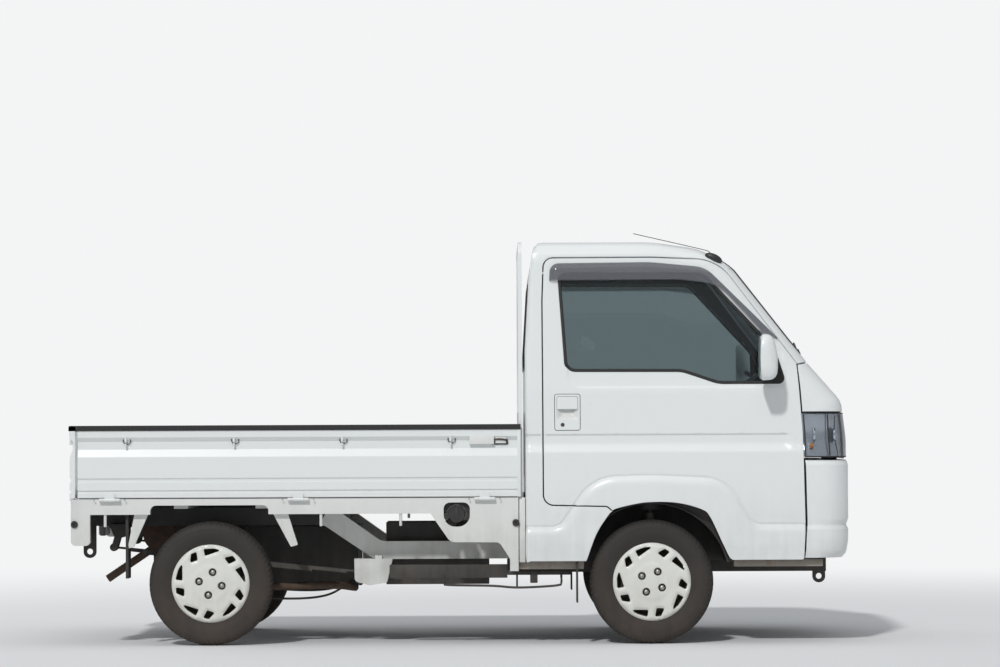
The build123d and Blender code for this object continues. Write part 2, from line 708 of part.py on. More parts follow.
def build_bed():
    """Load floor, side rails with skirts, headboard guard and rear beam."""
    floor = block((TAILGATE_INNER_X - 4, BED_FRONT_X), (-700.0, 700.0), (FLOOR_Z - FLOOR_SHEET, FLOOR_Z))
    first = BED_REAR_X + 88.0
    last = BED_FRONT_X - 50.0
    for index in range(BEARER_COUNT):
        place = first + (last - first) * index / (BEARER_COUNT - 1)
        floor = floor + block((place - 30, place + 30), (-RAIL_INNER_Y, RAIL_INNER_Y), (589.0, FLOOR_Z - 6.0))
    save("bed_floor", floor)
    for name, side in SIDES:
        rail = side_block(side, (BED_END_X, 248.0), (RAIL_INNER_Y, RAIL_OUTER_Y), (RAIL_BOTTOM_Z, RAIL_TOP_Z))
        rail = rail + side_block(
            side, (TAILGATE_INNER_X, 248.0), (RAIL_INNER_Y, 699.0), (RAIL_TOP_Z - 2.0, FLOOR_Z - FLOOR_SHEET)
        )
        arch = box_outline(REAR_AXLE_X - 258.5, REAR_AXLE_X + 250.5, 540.0, 604.0, 25.0)
        rail = rail - side_prism(side, arch, (600.0, 800.0))
        corner_outline = box_outline(BED_END_X, BED_END_X + 82.0, 432.0, 600.0, 20.0)
        corner = side_prism(side, corner_outline, (RAIL_INNER_Y, RAIL_OUTER_Y))
        skirt = side_prism(side, SKIRT_OUTLINE, (700.0, RAIL_OUTER_Y))
        rail = rail + corner + skirt
        if side == RIGHT:
            rail = rail - side_prism(side, FUEL_POCKET, (700.0, 800.0))
            rail = rail - disc((FUEL_CAP_PLACE[0], side * 660.0, FUEL_CAP_PLACE[1]), (0, side, 0), 44.0, 50.0)
        for stay in MUDGUARD_STAYS:
            rail = rail + side_prism(side, stay, (RAIL_INNER_Y, RAIL_INNER_Y + 20.0))
        rail = rail + side_block(side, REAR_FLAP_SPAN, (590.0, 700.0), (290.0, RAIL_BOTTOM_Z + 20.0))
        for place in HINGE_PLACES:
            for end in (-1, 1):
                near = place + end * (KNUCKLE_LENGTH / 2 + KNUCKLE_GAP)
                far = near + end * KNUCKLE_LENGTH / 2
                low, high = sorted((near, far))
                web = side_block(
                    side, (low, high), (RAIL_OUTER_Y - 1.0, GATE_HINGE_Y), (GATE_HINGE_Z - 6.0, GATE_HINGE_Z + 3.0)
                )
                knuckle = disc((low, side * GATE_HINGE_Y, GATE_HINGE_Z), (1, 0, 0), KNUCKLE_RADIUS, high - low)
                rail = rail + web + knuckle
        save(f"bed_side_{name}", rail)
    guard_outer = [
        (-690.0, 560.0, 0.0), (690.0, 560.0, 0.0), (690.0, 960.0, 60.0),
        (628.0, GUARD_TOP_Z, 60.0), (-628.0, GUARD_TOP_Z, 60.0), (-690.0, 960.0, 60.0),
    ]
    hole_top = GUARD_TOP_Z - 38.0
    guard_hole = [(-640.0, 1000.0, 30.0), (640.0, 1000.0, 30.0), (590.0, hole_top, 40.0), (-590.0, hole_top, 40.0)]
    guard = along_prism(guard_outer, GUARD_REAR_X, GUARD_FRONT_X) - along_prism(
        guard_hole, GUARD_REAR_X - 5, GUARD_FRONT_X + 5
    )
    for place in (-420.0, -210.0, 0.0, 210.0, 420.0):
        guard = guard + block((GUARD_REAR_X, GUARD_REAR_X + 12), (place - 8, place + 8), (990.0, hole_top + 10.0))
    save("guard_frame", guard)
    beam = block((BED_END_X, TAILGATE_INNER_X), (-RAIL_INNER_Y, RAIL_INNER_Y), (540.0, RAIL_TOP_Z))
    for place in TAIL_HINGE_PLACES:
        for end in (-1, 1):
            near = place + end * (KNUCKLE_LENGTH / 2 + KNUCKLE_GAP)
            far = near + end * KNUCKLE_LENGTH / 2
            low, high = sorted((near, far))
            web = block((TAIL_HINGE_X, BED_END_X + 1), (low, high), (GATE_HINGE_Z - 6.0, GATE_HINGE_Z + 3.0))
            knuckle = disc((TAIL_HINGE_X, low, GATE_HINGE_Z), (0, 1, 0), KNUCKLE_RADIUS, high - low)
            beam = beam + web + knuckle
    save("rear_beam", beam)
    lamp_span = (REAR_X + 15.5, REAR_X + 41.5)
    lamps = [side_block(side, lamp_span, (430.0, 640.0), (445.0, 540.0)) for _, side in SIDES]
    save("tail_lamps", *lamps)


# Brackets that carry the rear springs: along, height, corner radius
FRONT_BRACKET = (
    (-466.0, 366.0, 0.0), (-464.0, 268.0, 20.0), (-400.0, 250.0, 20.0),
    (-324.0, 262.0, 8.0), (-300.0, 366.0, 0.0),
)
REAR_BRACKET = (
    (REAR_X + 167.5, 516.0, 0.0), (REAR_X + 189.5, 462.0, 16.0),
    (REAR_X + 231.5, 462.0, 16.0), (REAR_X + 257.5, 516.0, 0.0),
)
SPRING_WIDTH = 50.0
SPRING_PIN = 8.0
SPRING_EYE = 17.0
SPRING_FRONT_X = -429.0
SPRING_FRONT_Z = 309.0
SHACKLE_X = REAR_X + 185.5
SHACKLE_Z = 420.0
BOSS_X = REAR_X + 211.5
BOSS_Z = 484.0

# Main frame rail seen from the side: along, height, corner radius
RAIL_PATH = (
    (TAILGATE_INNER_X, RAIL_HIGH_Z, 0.0),
    (-600.0, RAIL_HIGH_Z, 60.0),
    (-380.0, RAIL_LOW_Z, 60.0),
    (245.0, RAIL_LOW_Z, 0.0),
    (245.0, RAIL_LOW_Z + RAIL_HEIGHT, 0.0),
    (-350.0, RAIL_LOW_Z + RAIL_HEIGHT, 60.0),
    (-560.0, RAIL_HIGH_Z + RAIL_HEIGHT, 60.0),
    (TAILGATE_INNER_X, RAIL_HIGH_Z + RAIL_HEIGHT, 0.0),
)


def spring_hangers(side):
    """Front bracket and rear shackle that carry one leaf spring, with their pins."""
    inner = FRAME_RAIL_Y - RAIL_WIDTH / 2
    cheeks = ((inner, SPRING_Y - SPRING_WIDTH / 2 - 2.0), (SPRING_Y + SPRING_WIDTH / 2 + 2.0, SPRING_Y + 32.0))
    hanger = side_block(side, (-375.0, -345.0), (inner, SPRING_Y + 32.0), (330.0, 380.0))
    for cheek in cheeks:
        hanger = hanger + side_prism(side, FRONT_BRACKET, cheek)
        hanger = hanger + side_prism(side, REAR_BRACKET, cheek)
        hanger = hanger + side_prism(
            side,
            [(SHACKLE_X - 14, SHACKLE_Z - 14, 13.0), (SHACKLE_X + 14, SHACKLE_Z - 14, 13.0),
             (BOSS_X + 14, BOSS_Z + 14, 13.0), (BOSS_X - 14, BOSS_Z + 14, 13.0)],
            (cheek[1] - 5.0, cheek[1]) if cheek == cheeks[0] else (cheek[0], cheek[0] + 5.0),
        )
    hanger = hanger + side_block(side, (REAR_X + 167.5, REAR_X + 257.5), (inner, SPRING_Y + 32.0), (505.0, 520.0))
    for along, height in ((SPRING_FRONT_X, SPRING_FRONT_Z), (SHACKLE_X, SHACKLE_Z), (BOSS_X, BOSS_Z)):
        foot = (along, side * (inner + 2.0), height)
        hanger = hanger + disc(foot, (0, side, 0), SPRING_PIN, SPRING_Y + 28.0 - inner)
    return hanger


def build_frame():
    """Ladder frame under the bed and the narrower frame under the cab."""
    frame = block((150.0, 245.0), (-FRAME_RAIL_Y, FRAME_RAIL_Y), (RAIL_LOW_Z, RAIL_LOW_Z + RAIL_HEIGHT))
    for _, side in SIDES:
        half = RAIL_WIDTH / 2
        frame = frame + side_prism(side, RAIL_PATH, (FRAME_RAIL_Y - half, FRAME_RAIL_Y + half))
        frame = frame + side_block(side, (80.0, 170.0), (FRAME_RAIL_Y - half, FRAME_RAIL_Y + half), (400.0, 589.0))
    for place in (REAR_X + 97.5, -540.0):
        frame = frame + block((place - 25, place + 25), (-FRAME_RAIL_Y, FRAME_RAIL_Y), (525.0, 580.0))
    front = block((FRONT_AXLE_X - 61.5, FRONT_AXLE_X + 58.5), (-FRONT_RAIL_Y, FRONT_RAIL_Y), (235.0, RAIL_LOW_Z))
    for _, side in SIDES:
        half = RAIL_WIDTH / 2
        breadth = (FRONT_RAIL_Y - half, FRONT_RAIL_Y + half)
        front = front + side_block(side, (200.0, FRONT_X - 97.5), breadth, (RAIL_LOW_Z - 65.0, FOOTWELL_Z - 20.0))
        front = front + side_block(side, (322.0, 420.0), breadth, (FOOTWELL_Z - 21.0, PLATFORM_Z - 20.0))
    front = front + block((FRONT_X - 157.5, FRONT_X - 97.5), (-FRONT_RAIL_Y, FRONT_RAIL_Y), (310.0, 370.0))
    frame = frame + front
    for _, side in SIDES:
        frame = frame + spring_hangers(side)
    for along, out, low, high in (
        (FRONT_EYE_X, FRONT_RAIL_Y, EYE_FRONT_Z, RAIL_LOW_Z - 50.0),
        (REAR_EYE_X, FRAME_RAIL_Y, EYE_REAR_Z, RAIL_HIGH_Z + 10.0),
    ):
        corners = [
            (along - EYE_REACH, high, 0.0), (along - EYE_REACH, low - EYE_REACH, EYE_REACH - 1.0),
            (along + EYE_REACH, low - EYE_REACH, EYE_REACH - 1.0), (along + EYE_REACH, high, 0.0),
        ]
        plate = side_prism(RIGHT, corners, (out - EYE_SHEET / 2, out + EYE_SHEET / 2))
        hole = disc((along, RIGHT * (out - 50.0), low), (0, RIGHT, 0), EYE_BORE, 100.0)
        frame = frame + plate - hole
    save("frame", frame)
    engine = block((-960.0, -460.0), (-270.0, 270.0), (235.0, 500.0))
    engine = engine + block((-560.0, -520.0), (-60.0, 60.0), (490.0, 525.0))
    save("engine_block", engine)
    tank = block((-330.0, 120.0), (-440.0, -120.0), (250.0, 520.0))
    tank = tank + block((-330.0, 120.0), (-FRAME_RAIL_Y + 25, -120.0), (380.0, 420.0))
    filler = rod((FUEL_CAP_PLACE[0], RIGHT * 706.0, FUEL_CAP_PLACE[1]), (-60.0, RIGHT * 430.0, 490.0), 22.0)
    cap = disc((FUEL_CAP_PLACE[0], RIGHT * 706.0, FUEL_CAP_PLACE[1]), (0, RIGHT, 0), FUEL_CAP_RADIUS, 20.0)
    tank = tank + filler + cap
    save("fuel_tank", tank)


def leaf(side, front_x, rear_x, drop, sheet):
    """One spring leaf, straight and tilted up to the rear."""
    slope = (SHACKLE_Z - SPRING_FRONT_Z) / (SHACKLE_X - SPRING_FRONT_X)

    def height(along):
        return SPRING_FRONT_Z + 4.0 + slope * (along - SPRING_FRONT_X) - drop

    corners = [
        (front_x, height(front_x), 0.0),
        (rear_x, height(rear_x), 0.0),
        (rear_x, height(rear_x) - sheet, 0.0),
        (front_x, height(front_x) - sheet, 0.0),
    ]
    return side_prism(side, corners, (SPRING_Y - SPRING_WIDTH / 2, SPRING_Y + SPRING_WIDTH / 2))


def build_rear_axle():
    """Rear axle beam with its spring seats, leaf springs, hangers and shackles."""
    hub_y = TRACK / 2 - 65.0
    axle = rod((REAR_AXLE_X, -hub_y, AXLE_Z), (REAR_AXLE_X, hub_y, AXLE_Z), 35.0)
    springs = []
    for _, side in SIDES:
        axle = axle + disc((REAR_AXLE_X, side * (hub_y - 5.0), AXLE_Z), (0, side, 0), 100.0, 10.0)
        axle = axle + disc((REAR_AXLE_X, side * hub_y, AXLE_Z), (0, side, 0), HUB_BORE - ROOT_GAP, 95.0)
        seat_breadth = (SPRING_Y - SPRING_WIDTH / 2, SPRING_Y + SPRING_WIDTH / 2)
        axle = axle + side_block(side, (REAR_AXLE_X - 51.5, REAR_AXLE_X + 51.5), seat_breadth, (280.0, 362.0))
        spring = leaf(side, SPRING_FRONT_X, SHACKLE_X, 0.0, 8.0) + leaf(side, -500.0, SHACKLE_X + 72.0, 8.0, 7.0)
        spring = spring + leaf(side, -650.0, SHACKLE_X + 132.0, 15.0, 7.0)
        for along, height in ((SPRING_FRONT_X, SPRING_FRONT_Z), (SHACKLE_X, SHACKLE_Z)):
            start = (along, side * (SPRING_Y - SPRING_WIDTH / 2), height)
            spring = spring + disc(start, (0, side, 0), SPRING_EYE, SPRING_WIDTH)
            spring = spring - disc(start, (0, side, 0), SPRING_PIN, SPRING_WIDTH)
        springs.append(spring)
    axle = axle - Compound([solid for spring in springs for solid in spring.solids()])
    save("rear_axle", axle)
    save("leaf_springs", *springs)


def build_front_suspension():
    """Struts, springs and lower arms, and the knuckles that steer."""
    fixed = []
    for name, side in SIDES:
        rod_top = disc((FRONT_AXLE_X, side * KINGPIN_Y, 560.0 + ROOT_GAP), (0, 0, 1), 11.0, 120.0 - ROOT_GAP)
        spring = disc((FRONT_AXLE_X, side * KINGPIN_Y, 575.0), (0, 0, 1), 55.0, 105.0)
        fixed.append(rod_top + spring)
        arm_outline = box_outline(FRONT_AXLE_X - 22.0, FRONT_AXLE_X + 22.0, 170.0, 195.0, 4.0)
        arm = side_prism(side, arm_outline, (FRONT_RAIL_Y - 20, KINGPIN_Y + 20))
        pivot_span = (FRONT_AXLE_X - 51.5, FRONT_AXLE_X + 51.5)
        pivot = side_block(side, pivot_span, (FRONT_RAIL_Y - 30, FRONT_RAIL_Y - 5), (165.0, 235.0))
        fixed.append(arm + pivot)
        knuckle = disc((FRONT_AXLE_X, side * KINGPIN_Y, 195.0 + ROOT_GAP), (0, 0, 1), 24.0, 365.0 - ROOT_GAP)
        knuckle = knuckle + disc((FRONT_AXLE_X, side * KINGPIN_Y, AXLE_Z), (0, side, 0), 38.0, 40.0)
        spindle_foot = (FRONT_AXLE_X, side * (KINGPIN_Y + 20.0), AXLE_Z)
        knuckle = knuckle + disc(spindle_foot, (0, side, 0), HUB_BORE - ROOT_GAP, 115.0)
        knuckle = knuckle + disc((FRONT_AXLE_X, side * (KINGPIN_Y + 36.0), AXLE_Z), (0, side, 0), 105.0, 8.0)
        arm_span = (FRONT_AXLE_X - 121.5, FRONT_AXLE_X)
        knuckle = knuckle + side_block(side, arm_span, (KINGPIN_Y - 12, KINGPIN_Y + 12), (205.0, 225.0))
        save(f"knuckle_{name}", knuckle)
    save("front_suspension", *fixed)


# Tyre section: distance out from the wheel's middle plane, radius, corner radius
TYRE_SECTION = (
    (-52.0, BEAD_RADIUS, 0.0),
    (52.0, BEAD_RADIUS, 0.0),
    (TYRE_WIDTH / 2, 208.0, 0.0),
    (66.0, 250.0, 0.0),
    (50.0, TYRE_RADIUS, 0.0),
    (-50.0, TYRE_RADIUS, 0.0),
    (-66.0, 250.0, 0.0),
    (-TYRE_WIDTH / 2, 208.0, 0.0),
)

# Rim section from the inner flange to the outer one: distance out, radius, corner radius
RIM_SECTION = (
    (-57.0, 162.0, 0.0),
    (-52.0, BEAD_RADIUS, 0.0),
    (52.0, BEAD_RADIUS, 0.0),
    (57.0, 162.0, 0.0),
    (57.0, 146.0, 0.0),
    (-57.0, 146.0, 0.0),
)

# Wheel cap section, a domed sheet that snaps over the rim: distance out, radius, corner radius
CAP_SECTION = (
    (56.0, 156.0, 0.0),
    (62.0, CAP_RADIUS, 0.0),
    (72.0, 148.0, 0.0),
    (73.0, 70.0, 0.0),
    (70.0, 0.0, 0.0),
    (67.0, 0.0, 0.0),
    (70.0, 70.0, 0.0),
    (69.0, 147.0, 0.0),
)

# Slots of one fifth of the wheel cap, seen from outside: across, up, corner radius
CAP_SLOTS = (
    ((-66.0, 129.0, 0.0), (-4.0, 144.0, 0.0), (-10.0, 136.0, 0.0), (-58.0, 108.0, 0.0)),
    ((26.0, 121.0, 0.0), (59.0, 137.0, 0.0), (75.0, 128.0, 0.0), (50.0, 108.0, 0.0)),
)
SLOT_REPEATS = 5
NUT_CIRCLE = 50.0
NUT_POCKET = 16.0
NUT_SIZE = 10.5
NUT_COUNT = 4
NUT_TURN = 37.0


def turned(side, axle_x, section):
    """Ring turned round a wheel's axle from a section of (distance out, radius, corner radius)."""
    centre_y = side * TRACK / 2
    corners = [(side * out, radius, rounding) for out, radius, rounding in section]
    plane = Plane(origin=(axle_x, centre_y, AXLE_Z), x_dir=(0, 1, 0), z_dir=(1, 0, 0))
    return revolve(plane * outline(corners), axis=Axis((axle_x, centre_y, AXLE_Z), (0, 1, 0)))


def build_wheels():
    """Tyres, steel wheels with their hubs and full caps."""
    for end, axle_x in (("front", FRONT_AXLE_X), ("rear", REAR_AXLE_X)):
        for name, side in SIDES:
            centre = side * TRACK / 2
            save(f"tyre_{end}_{name}", turned(side, axle_x, TYRE_SECTION))
            rim = turned(side, axle_x, RIM_SECTION)
            plate = disc((axle_x, centre + side * HUB_FACE, AXLE_Z), (0, side, 0), 147.0, RIM_SHEET)
            face = disc((axle_x, centre - side * 40.0, AXLE_Z), (0, side, 0), 50.0, HUB_FACE + 40.0)
            bore = disc((axle_x, centre - side * 60.0, AXLE_Z), (0, side, 0), HUB_BORE, 60.0 + 30.0)
            cap = turned(side, axle_x, CAP_SECTION)
            nuts = []
            for index in range(NUT_COUNT):
                turn = radians(NUT_TURN + 360.0 / NUT_COUNT * index)
                place = (axle_x + NUT_CIRCLE * cos(turn), centre, AXLE_Z + NUT_CIRCLE * sin(turn))
                cap = cap - disc(place, (0, side, 0), NUT_POCKET, 100.0)
                plane = Plane(origin=place, z_dir=(0, side, 0)).offset(HUB_FACE)
                nuts.append(extrude(plane * RegularPolygon(NUT_SIZE, 6), amount=28.0, dir=(0, side, 0)))
            for index in range(SLOT_REPEATS):
                turn = radians(360.0 / SLOT_REPEATS * index)
                for slot in CAP_SLOTS:
                    corners = [turned_corner(side, axle_x, corner, turn) for corner in slot]
                    cap = cap - side_prism(side, corners, (TRACK / 2 + HUB_FACE + 10.0, TRACK / 2 + 90.0))
            save(f"wheel_{end}_{name}", (rim + face + plate - bore) + cap + nuts)


def turned_corner(side, axle_x, corner, turn):
    """Corner of a cap slot turned round the axle, as seen from outside on either side."""
    across, up, radius = corner
    return (
        axle_x - side * (across * cos(turn) - up * sin(turn)),
        AXLE_Z + across * sin(turn) + up * cos(turn),
        radius,
    )


def build_mirrors(skin):
    """Mirrors on black corner plates in front of the side windows."""
    core = even_body(GLASS_INSET - ROOT_GAP)
    window = outline(SIDE_WINDOW)
    for name, side in SIDES:
        plate = (skin & through(outline(SAIL_OUTLINE), side) & through(window, side)) - core
        housing_outline = box_outline(FRONT_X - 408.5, FRONT_X - 339.5, 1124.0, 1321.0, 22.0)
        housing = side_prism(side, housing_outline, (770.0, 905.0))
        arm = rod((FRONT_X - 325.5, side * 700.0, 1165.0), (FRONT_X - 362.5, side * 785.0, 1185.0), 11.0) - core
        save(f"mirror_{name}", housing + arm + plate)


def build_fittings(skin):
    """Aerial and silencer."""
    mast = rod((FRONT_X - 617.5, -600.0, ROOF_Z - 49.0), (FRONT_X - 947.5, -600.0, ROOF_Z + 29.0), 2.5)
    foot = rod((FRONT_X - 587.5, -600.0, ROOF_Z - 55.0), (FRONT_X - 647.5, -600.0, ROOF_Z - 40.0), 11.0)
    save("aerial", (mast + foot) - skin)
    drum_x = REAR_X + 367.5
    silencer = rod((drum_x, -380.0, 470.0), (drum_x, 380.0, 470.0), 70.0)
    for place in (-250.0, 250.0):
        hanger = block((drum_x - 6.0, drum_x + 6.0), (place - 15, place + 15), (530.0, FLOOR_Z - FLOOR_SHEET))
        silencer = silencer + hanger
    tail = rod((drum_x, -330.0, 430.0), (drum_x - 230.0, -330.0, 275.0), 17.0)
    save("silencer", silencer + tail)


cab_skin, inner_cab = build_cab()
build_mirrors(cab_skin)
build_interior(inner_cab)
build_gates()
build_bed()
build_frame()
build_rear_axle()
build_front_suspension()
build_wheels()
build_fittings(cab_skin)
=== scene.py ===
import logging
import math
from dataclasses import dataclass
from enum import Enum
from typing import Callable, Iterable, Optional, Sequence

import bmesh
import bpy
import numpy as np
from mathutils import Matrix, Vector
from mathutils.geometry import delaunay_2d_cdt


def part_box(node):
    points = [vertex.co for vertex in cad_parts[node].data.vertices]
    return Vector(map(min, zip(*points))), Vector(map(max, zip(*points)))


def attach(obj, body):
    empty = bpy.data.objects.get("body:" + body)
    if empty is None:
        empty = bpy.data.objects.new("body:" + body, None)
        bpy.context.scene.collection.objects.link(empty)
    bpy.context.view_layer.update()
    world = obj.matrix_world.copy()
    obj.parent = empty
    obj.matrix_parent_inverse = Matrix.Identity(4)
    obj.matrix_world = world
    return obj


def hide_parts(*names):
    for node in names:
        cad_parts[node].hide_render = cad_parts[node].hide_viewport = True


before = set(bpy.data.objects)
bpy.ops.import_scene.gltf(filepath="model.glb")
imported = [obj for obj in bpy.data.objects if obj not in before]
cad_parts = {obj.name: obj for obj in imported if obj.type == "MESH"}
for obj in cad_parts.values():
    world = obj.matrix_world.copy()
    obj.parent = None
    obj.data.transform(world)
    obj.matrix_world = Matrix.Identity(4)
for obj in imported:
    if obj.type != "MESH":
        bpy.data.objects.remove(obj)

# Kei truck with a drop-side bed: body panels, glass, wheels, bed, running gear and finishes
# Tables are in millimetres, as in the part's source, and meshes are in metres

LOG = logging.getLogger("truck")
MM = 0.001
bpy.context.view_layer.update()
PHOTO_SIZE = (1000, 667)

Corner = tuple[float, float, float]
Point = tuple[float, float, float]
Span = tuple[float, float]
Section = Sequence[Span]


class Side(Enum):
    """Side of the truck, with its sign along Y."""

    RIGHT = -1
    LEFT = 1

    @property
    def word(self) -> str:
        """Name used for the nodes and bodies of this side."""
        return self.name.lower()

    @property
    def door(self) -> str:
        """Body of this side's door."""
        return f"door_{self.word}_body"

    @property
    def way(self) -> Point:
        """Direction outwards."""
        return (0.0, float(self.value), 0.0)

    def at(self, along: float, out: float, up: float) -> Point:
        """Point at a distance outwards from the truck's middle."""
        return (along, self.value * out, up)


class Body(Enum):
    """Bodies that pieces ride on."""

    CHASSIS = "chassis"
    TAILGATE = "tailgate_body"


# Driving dimensions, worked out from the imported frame
FRONT_AXLE_X = sum(point[0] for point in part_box("tyre_front_right")) / 2 / MM
REAR_AXLE_X = sum(point[0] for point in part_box("tyre_rear_right")) / 2 / MM
AXLE_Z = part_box("tyre_rear_right")[1][2] / 2 / MM
TRACK_HALF = -sum(point[1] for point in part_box("tyre_rear_right")) / 2 / MM
FRONT_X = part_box("front_bumper")[1][0] / MM
REAR_X = -FRONT_X
CAB_REAR_X = 278.0
HALF_WIDTH = 737.5
ROOF_Z = 1745.0
COWL_Z = 1206.0
FLOOR_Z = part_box("bed_floor")[1][2] / MM
BED_REAR_X = REAR_X + 49.5
BED_FRONT_X = 250.0
BOW_AXIS_X = -7500.0


def rounded(corners: Sequence[Corner], step: float = 14.0, closed: bool = True) -> np.ndarray:
    """Lays out a polyline with every corner rounded by its own radius.

    Args:
        corners: Corners as (across, up, radius) in millimetres.
        step: Longest distance between points on a straight run.
        closed: Whether the last corner runs back to the first.

    Returns:
        Points as an array of shape (count, 2), in millimetres.
    """
    count = len(corners)
    points: list[np.ndarray] = []
    for index, (across, up, radius) in enumerate(corners):
        here = np.array((across, up))
        open_end = not closed and index in (0, count - 1)
        if radius <= 0.0 or open_end:
            points.append(here)
            continue
        before = np.array(corners[index - 1][:2]) - here
        after = np.array(corners[(index + 1) % count][:2]) - here
        before = before / np.linalg.norm(before)
        after = after / np.linalg.norm(after)
        half = math.acos(float(np.clip(before @ after, -1.0, 1.0))) / 2
        trim = radius / math.tan(half)
        middle = here + (before + after) / np.linalg.norm(before + after) * radius / math.sin(half)
        start = here + before * trim - middle
        sweep = math.pi - 2 * half
        turn = np.sign(before[0] * after[1] - before[1] * after[0])
        pieces = max(2, int(math.ceil(max(sweep * radius / step, sweep / math.radians(12.0)))))
        for part in range(pieces + 1):
            angle = -turn * sweep * part / pieces
            cosine, sine = math.cos(angle), math.sin(angle)
            turned = np.array((start[0] * cosine - start[1] * sine, start[0] * sine + start[1] * cosine))
            points.append(middle + turned)
    filled: list[np.ndarray] = []
    last = len(points) if closed else len(points) - 1
    for index in range(last):
        here, following = points[index], points[(index + 1) % len(points)]
        length = float(np.linalg.norm(following - here))
        if length < 1e-6:
            continue
        pieces = max(1, int(math.ceil(length / step)))
        filled.extend(here + (following - here) * part / pieces for part in range(pieces))
    if not closed:
        filled.append(points[-1])
    return np.array(filled)


def grown(loop: np.ndarray, distance: float) -> np.ndarray:
    """Moves a closed loop outwards in its own plane.

    Args:
        loop: Points of the loop, shape (count, 2).
        distance: Distance outwards, or inwards where it is negative.

    Returns:
        The moved loop, with as many points.
    """
    ahead = np.roll(loop, -1, axis=0) - np.roll(loop, 1, axis=0)
    ahead = ahead / np.maximum(np.linalg.norm(ahead, axis=1, keepdims=True), 1e-9)
    normal = np.stack((ahead[:, 1], -ahead[:, 0]), axis=1)
    return loop + normal * (distance if signed_area(loop) > 0 else -distance)


def signed_area(loop: np.ndarray) -> float:
    """Area of a closed loop, positive where it runs anticlockwise."""
    following = np.roll(loop, -1, axis=0)
    return float(np.sum(loop[:, 0] * following[:, 1] - following[:, 0] * loop[:, 1]) / 2)


def inside(points: np.ndarray, loop: np.ndarray) -> np.ndarray:
    """Tells which points lie inside a closed loop, by counting crossings."""
    result = np.zeros(len(points), bool)
    following = np.roll(loop, -1, axis=0)
    for (ax, ay), (bx, by) in zip(loop, following):
        crosses = (ay > points[:, 1]) != (by > points[:, 1])
        if by != ay:
            result ^= crosses & (points[:, 0] < (bx - ax) * (points[:, 1] - ay) / (by - ay) + ax)
    return result


def round_join(first: np.ndarray, second: np.ndarray, radius: float) -> np.ndarray:
    """Joins two fields that are negative inside with a rounded outer edge."""
    a = np.maximum(first + radius, 0.0)
    b = np.maximum(second + radius, 0.0)
    return np.minimum(-radius, np.maximum(first, second)) + np.hypot(a, b)


def field_level(first: np.ndarray, low: float, high: float) -> np.ndarray:
    """Smooth step from 0 at low to 1 at high."""
    share = np.clip((first - low) / (high - low), 0.0, 1.0)
    return share * share * (3.0 - 2.0 * share)


# Cab section seen from the front: height, half width, corner radius
CAB_SECTION = (
    (300.0, 708.0, 0.0), (430.0, 724.0, 80.0), (824.0, 725.0, 22.0), (858.0, 714.5, 18.0),
    (904.0, 712.5, 30.0), (1090.0, 705.0, 120.0), (1712.0, 630.0, 0.0), (1950.0, 601.3, 0.0),
)
# Windscreen and nose seen from the side: height, along, corner radius
CAB_FRONT = (
    (1950.0, FRONT_X - 745.3, 0.0), (COWL_Z, FRONT_X - 171.5, 60.0), (1042.0, FRONT_X - 28.5, 72.0),
    (880.0, FRONT_X - 9.5, 250.0), (300.0, FRONT_X - 7.5, 0.0),
)
# Roof on the middle line: along, height, corner radius
CAB_ROOF = (
    (100.0, ROOF_Z, 0.0), (FRONT_X - 857.5, ROOF_Z, 700.0), (FRONT_X - 552.5, ROOF_Z - 47.0, 0.0),
    (FRONT_X, ROOF_Z - 133.0, 0.0),
)
# Back of the cab: height, along, corner radius
CAB_BACK = (
    (300.0, CAB_REAR_X, 0.0), (1265.0, CAB_REAR_X, 60.0), (1690.0, CAB_REAR_X + 25.0, 30.0),
    (1765.0, CAB_REAR_X + 72.0, 0.0),
)
# Upper edge of the wider lower body: along, height, corner radius
FLARE_EDGE = (
    (100.0, 503.0, 0.0), (FRONT_AXLE_X - 394.5, 503.0, 60.0), (FRONT_AXLE_X - 252.5, 716.0, 200.0),
    (FRONT_AXLE_X - 2.5, 724.0, 1500.0), (FRONT_AXLE_X + 321.5, 708.0, 180.0),
    (FRONT_AXLE_X + 437.5, 511.0, 60.0), (FRONT_X + 60.0, 509.0, 0.0), (FRONT_X + 60.0, 200.0, 0.0),
    (100.0, 200.0, 0.0),
)
# Pressed band below the side window: along, height, corner radius
WINDOW_PRESSING = (
    (455.0, 1230.0, 0.0), (462.0, 1100.0, 60.0), (1408.0, 1100.0, 30.0), (1408.0, 1180.0, 0.0),
    (1395.0, 1260.0, 0.0), (1300.0, 1340.0, 0.0), (600.0, 1340.0, 0.0),
)
PRESSING_DEPTH = 3.6
FLARE_DEPTH = 12.5
FLARE_SHOULDER = 44.0
WAIST_Z = 901.0
WAIST_HALF = 2.6
WAIST_DEPTH = 6.0
# Heights over which the hollow below the waist fades out, and places along where it ends
WAIST_FOOT = (820.0, 862.0)
WAIST_END = (1395.0, 1425.0)
PILLAR_RADIUS = 96.0
RAIL_RADIUS = 62.0
BACK_RADIUS = 16.0
ROOF_CROWN = 40000.0


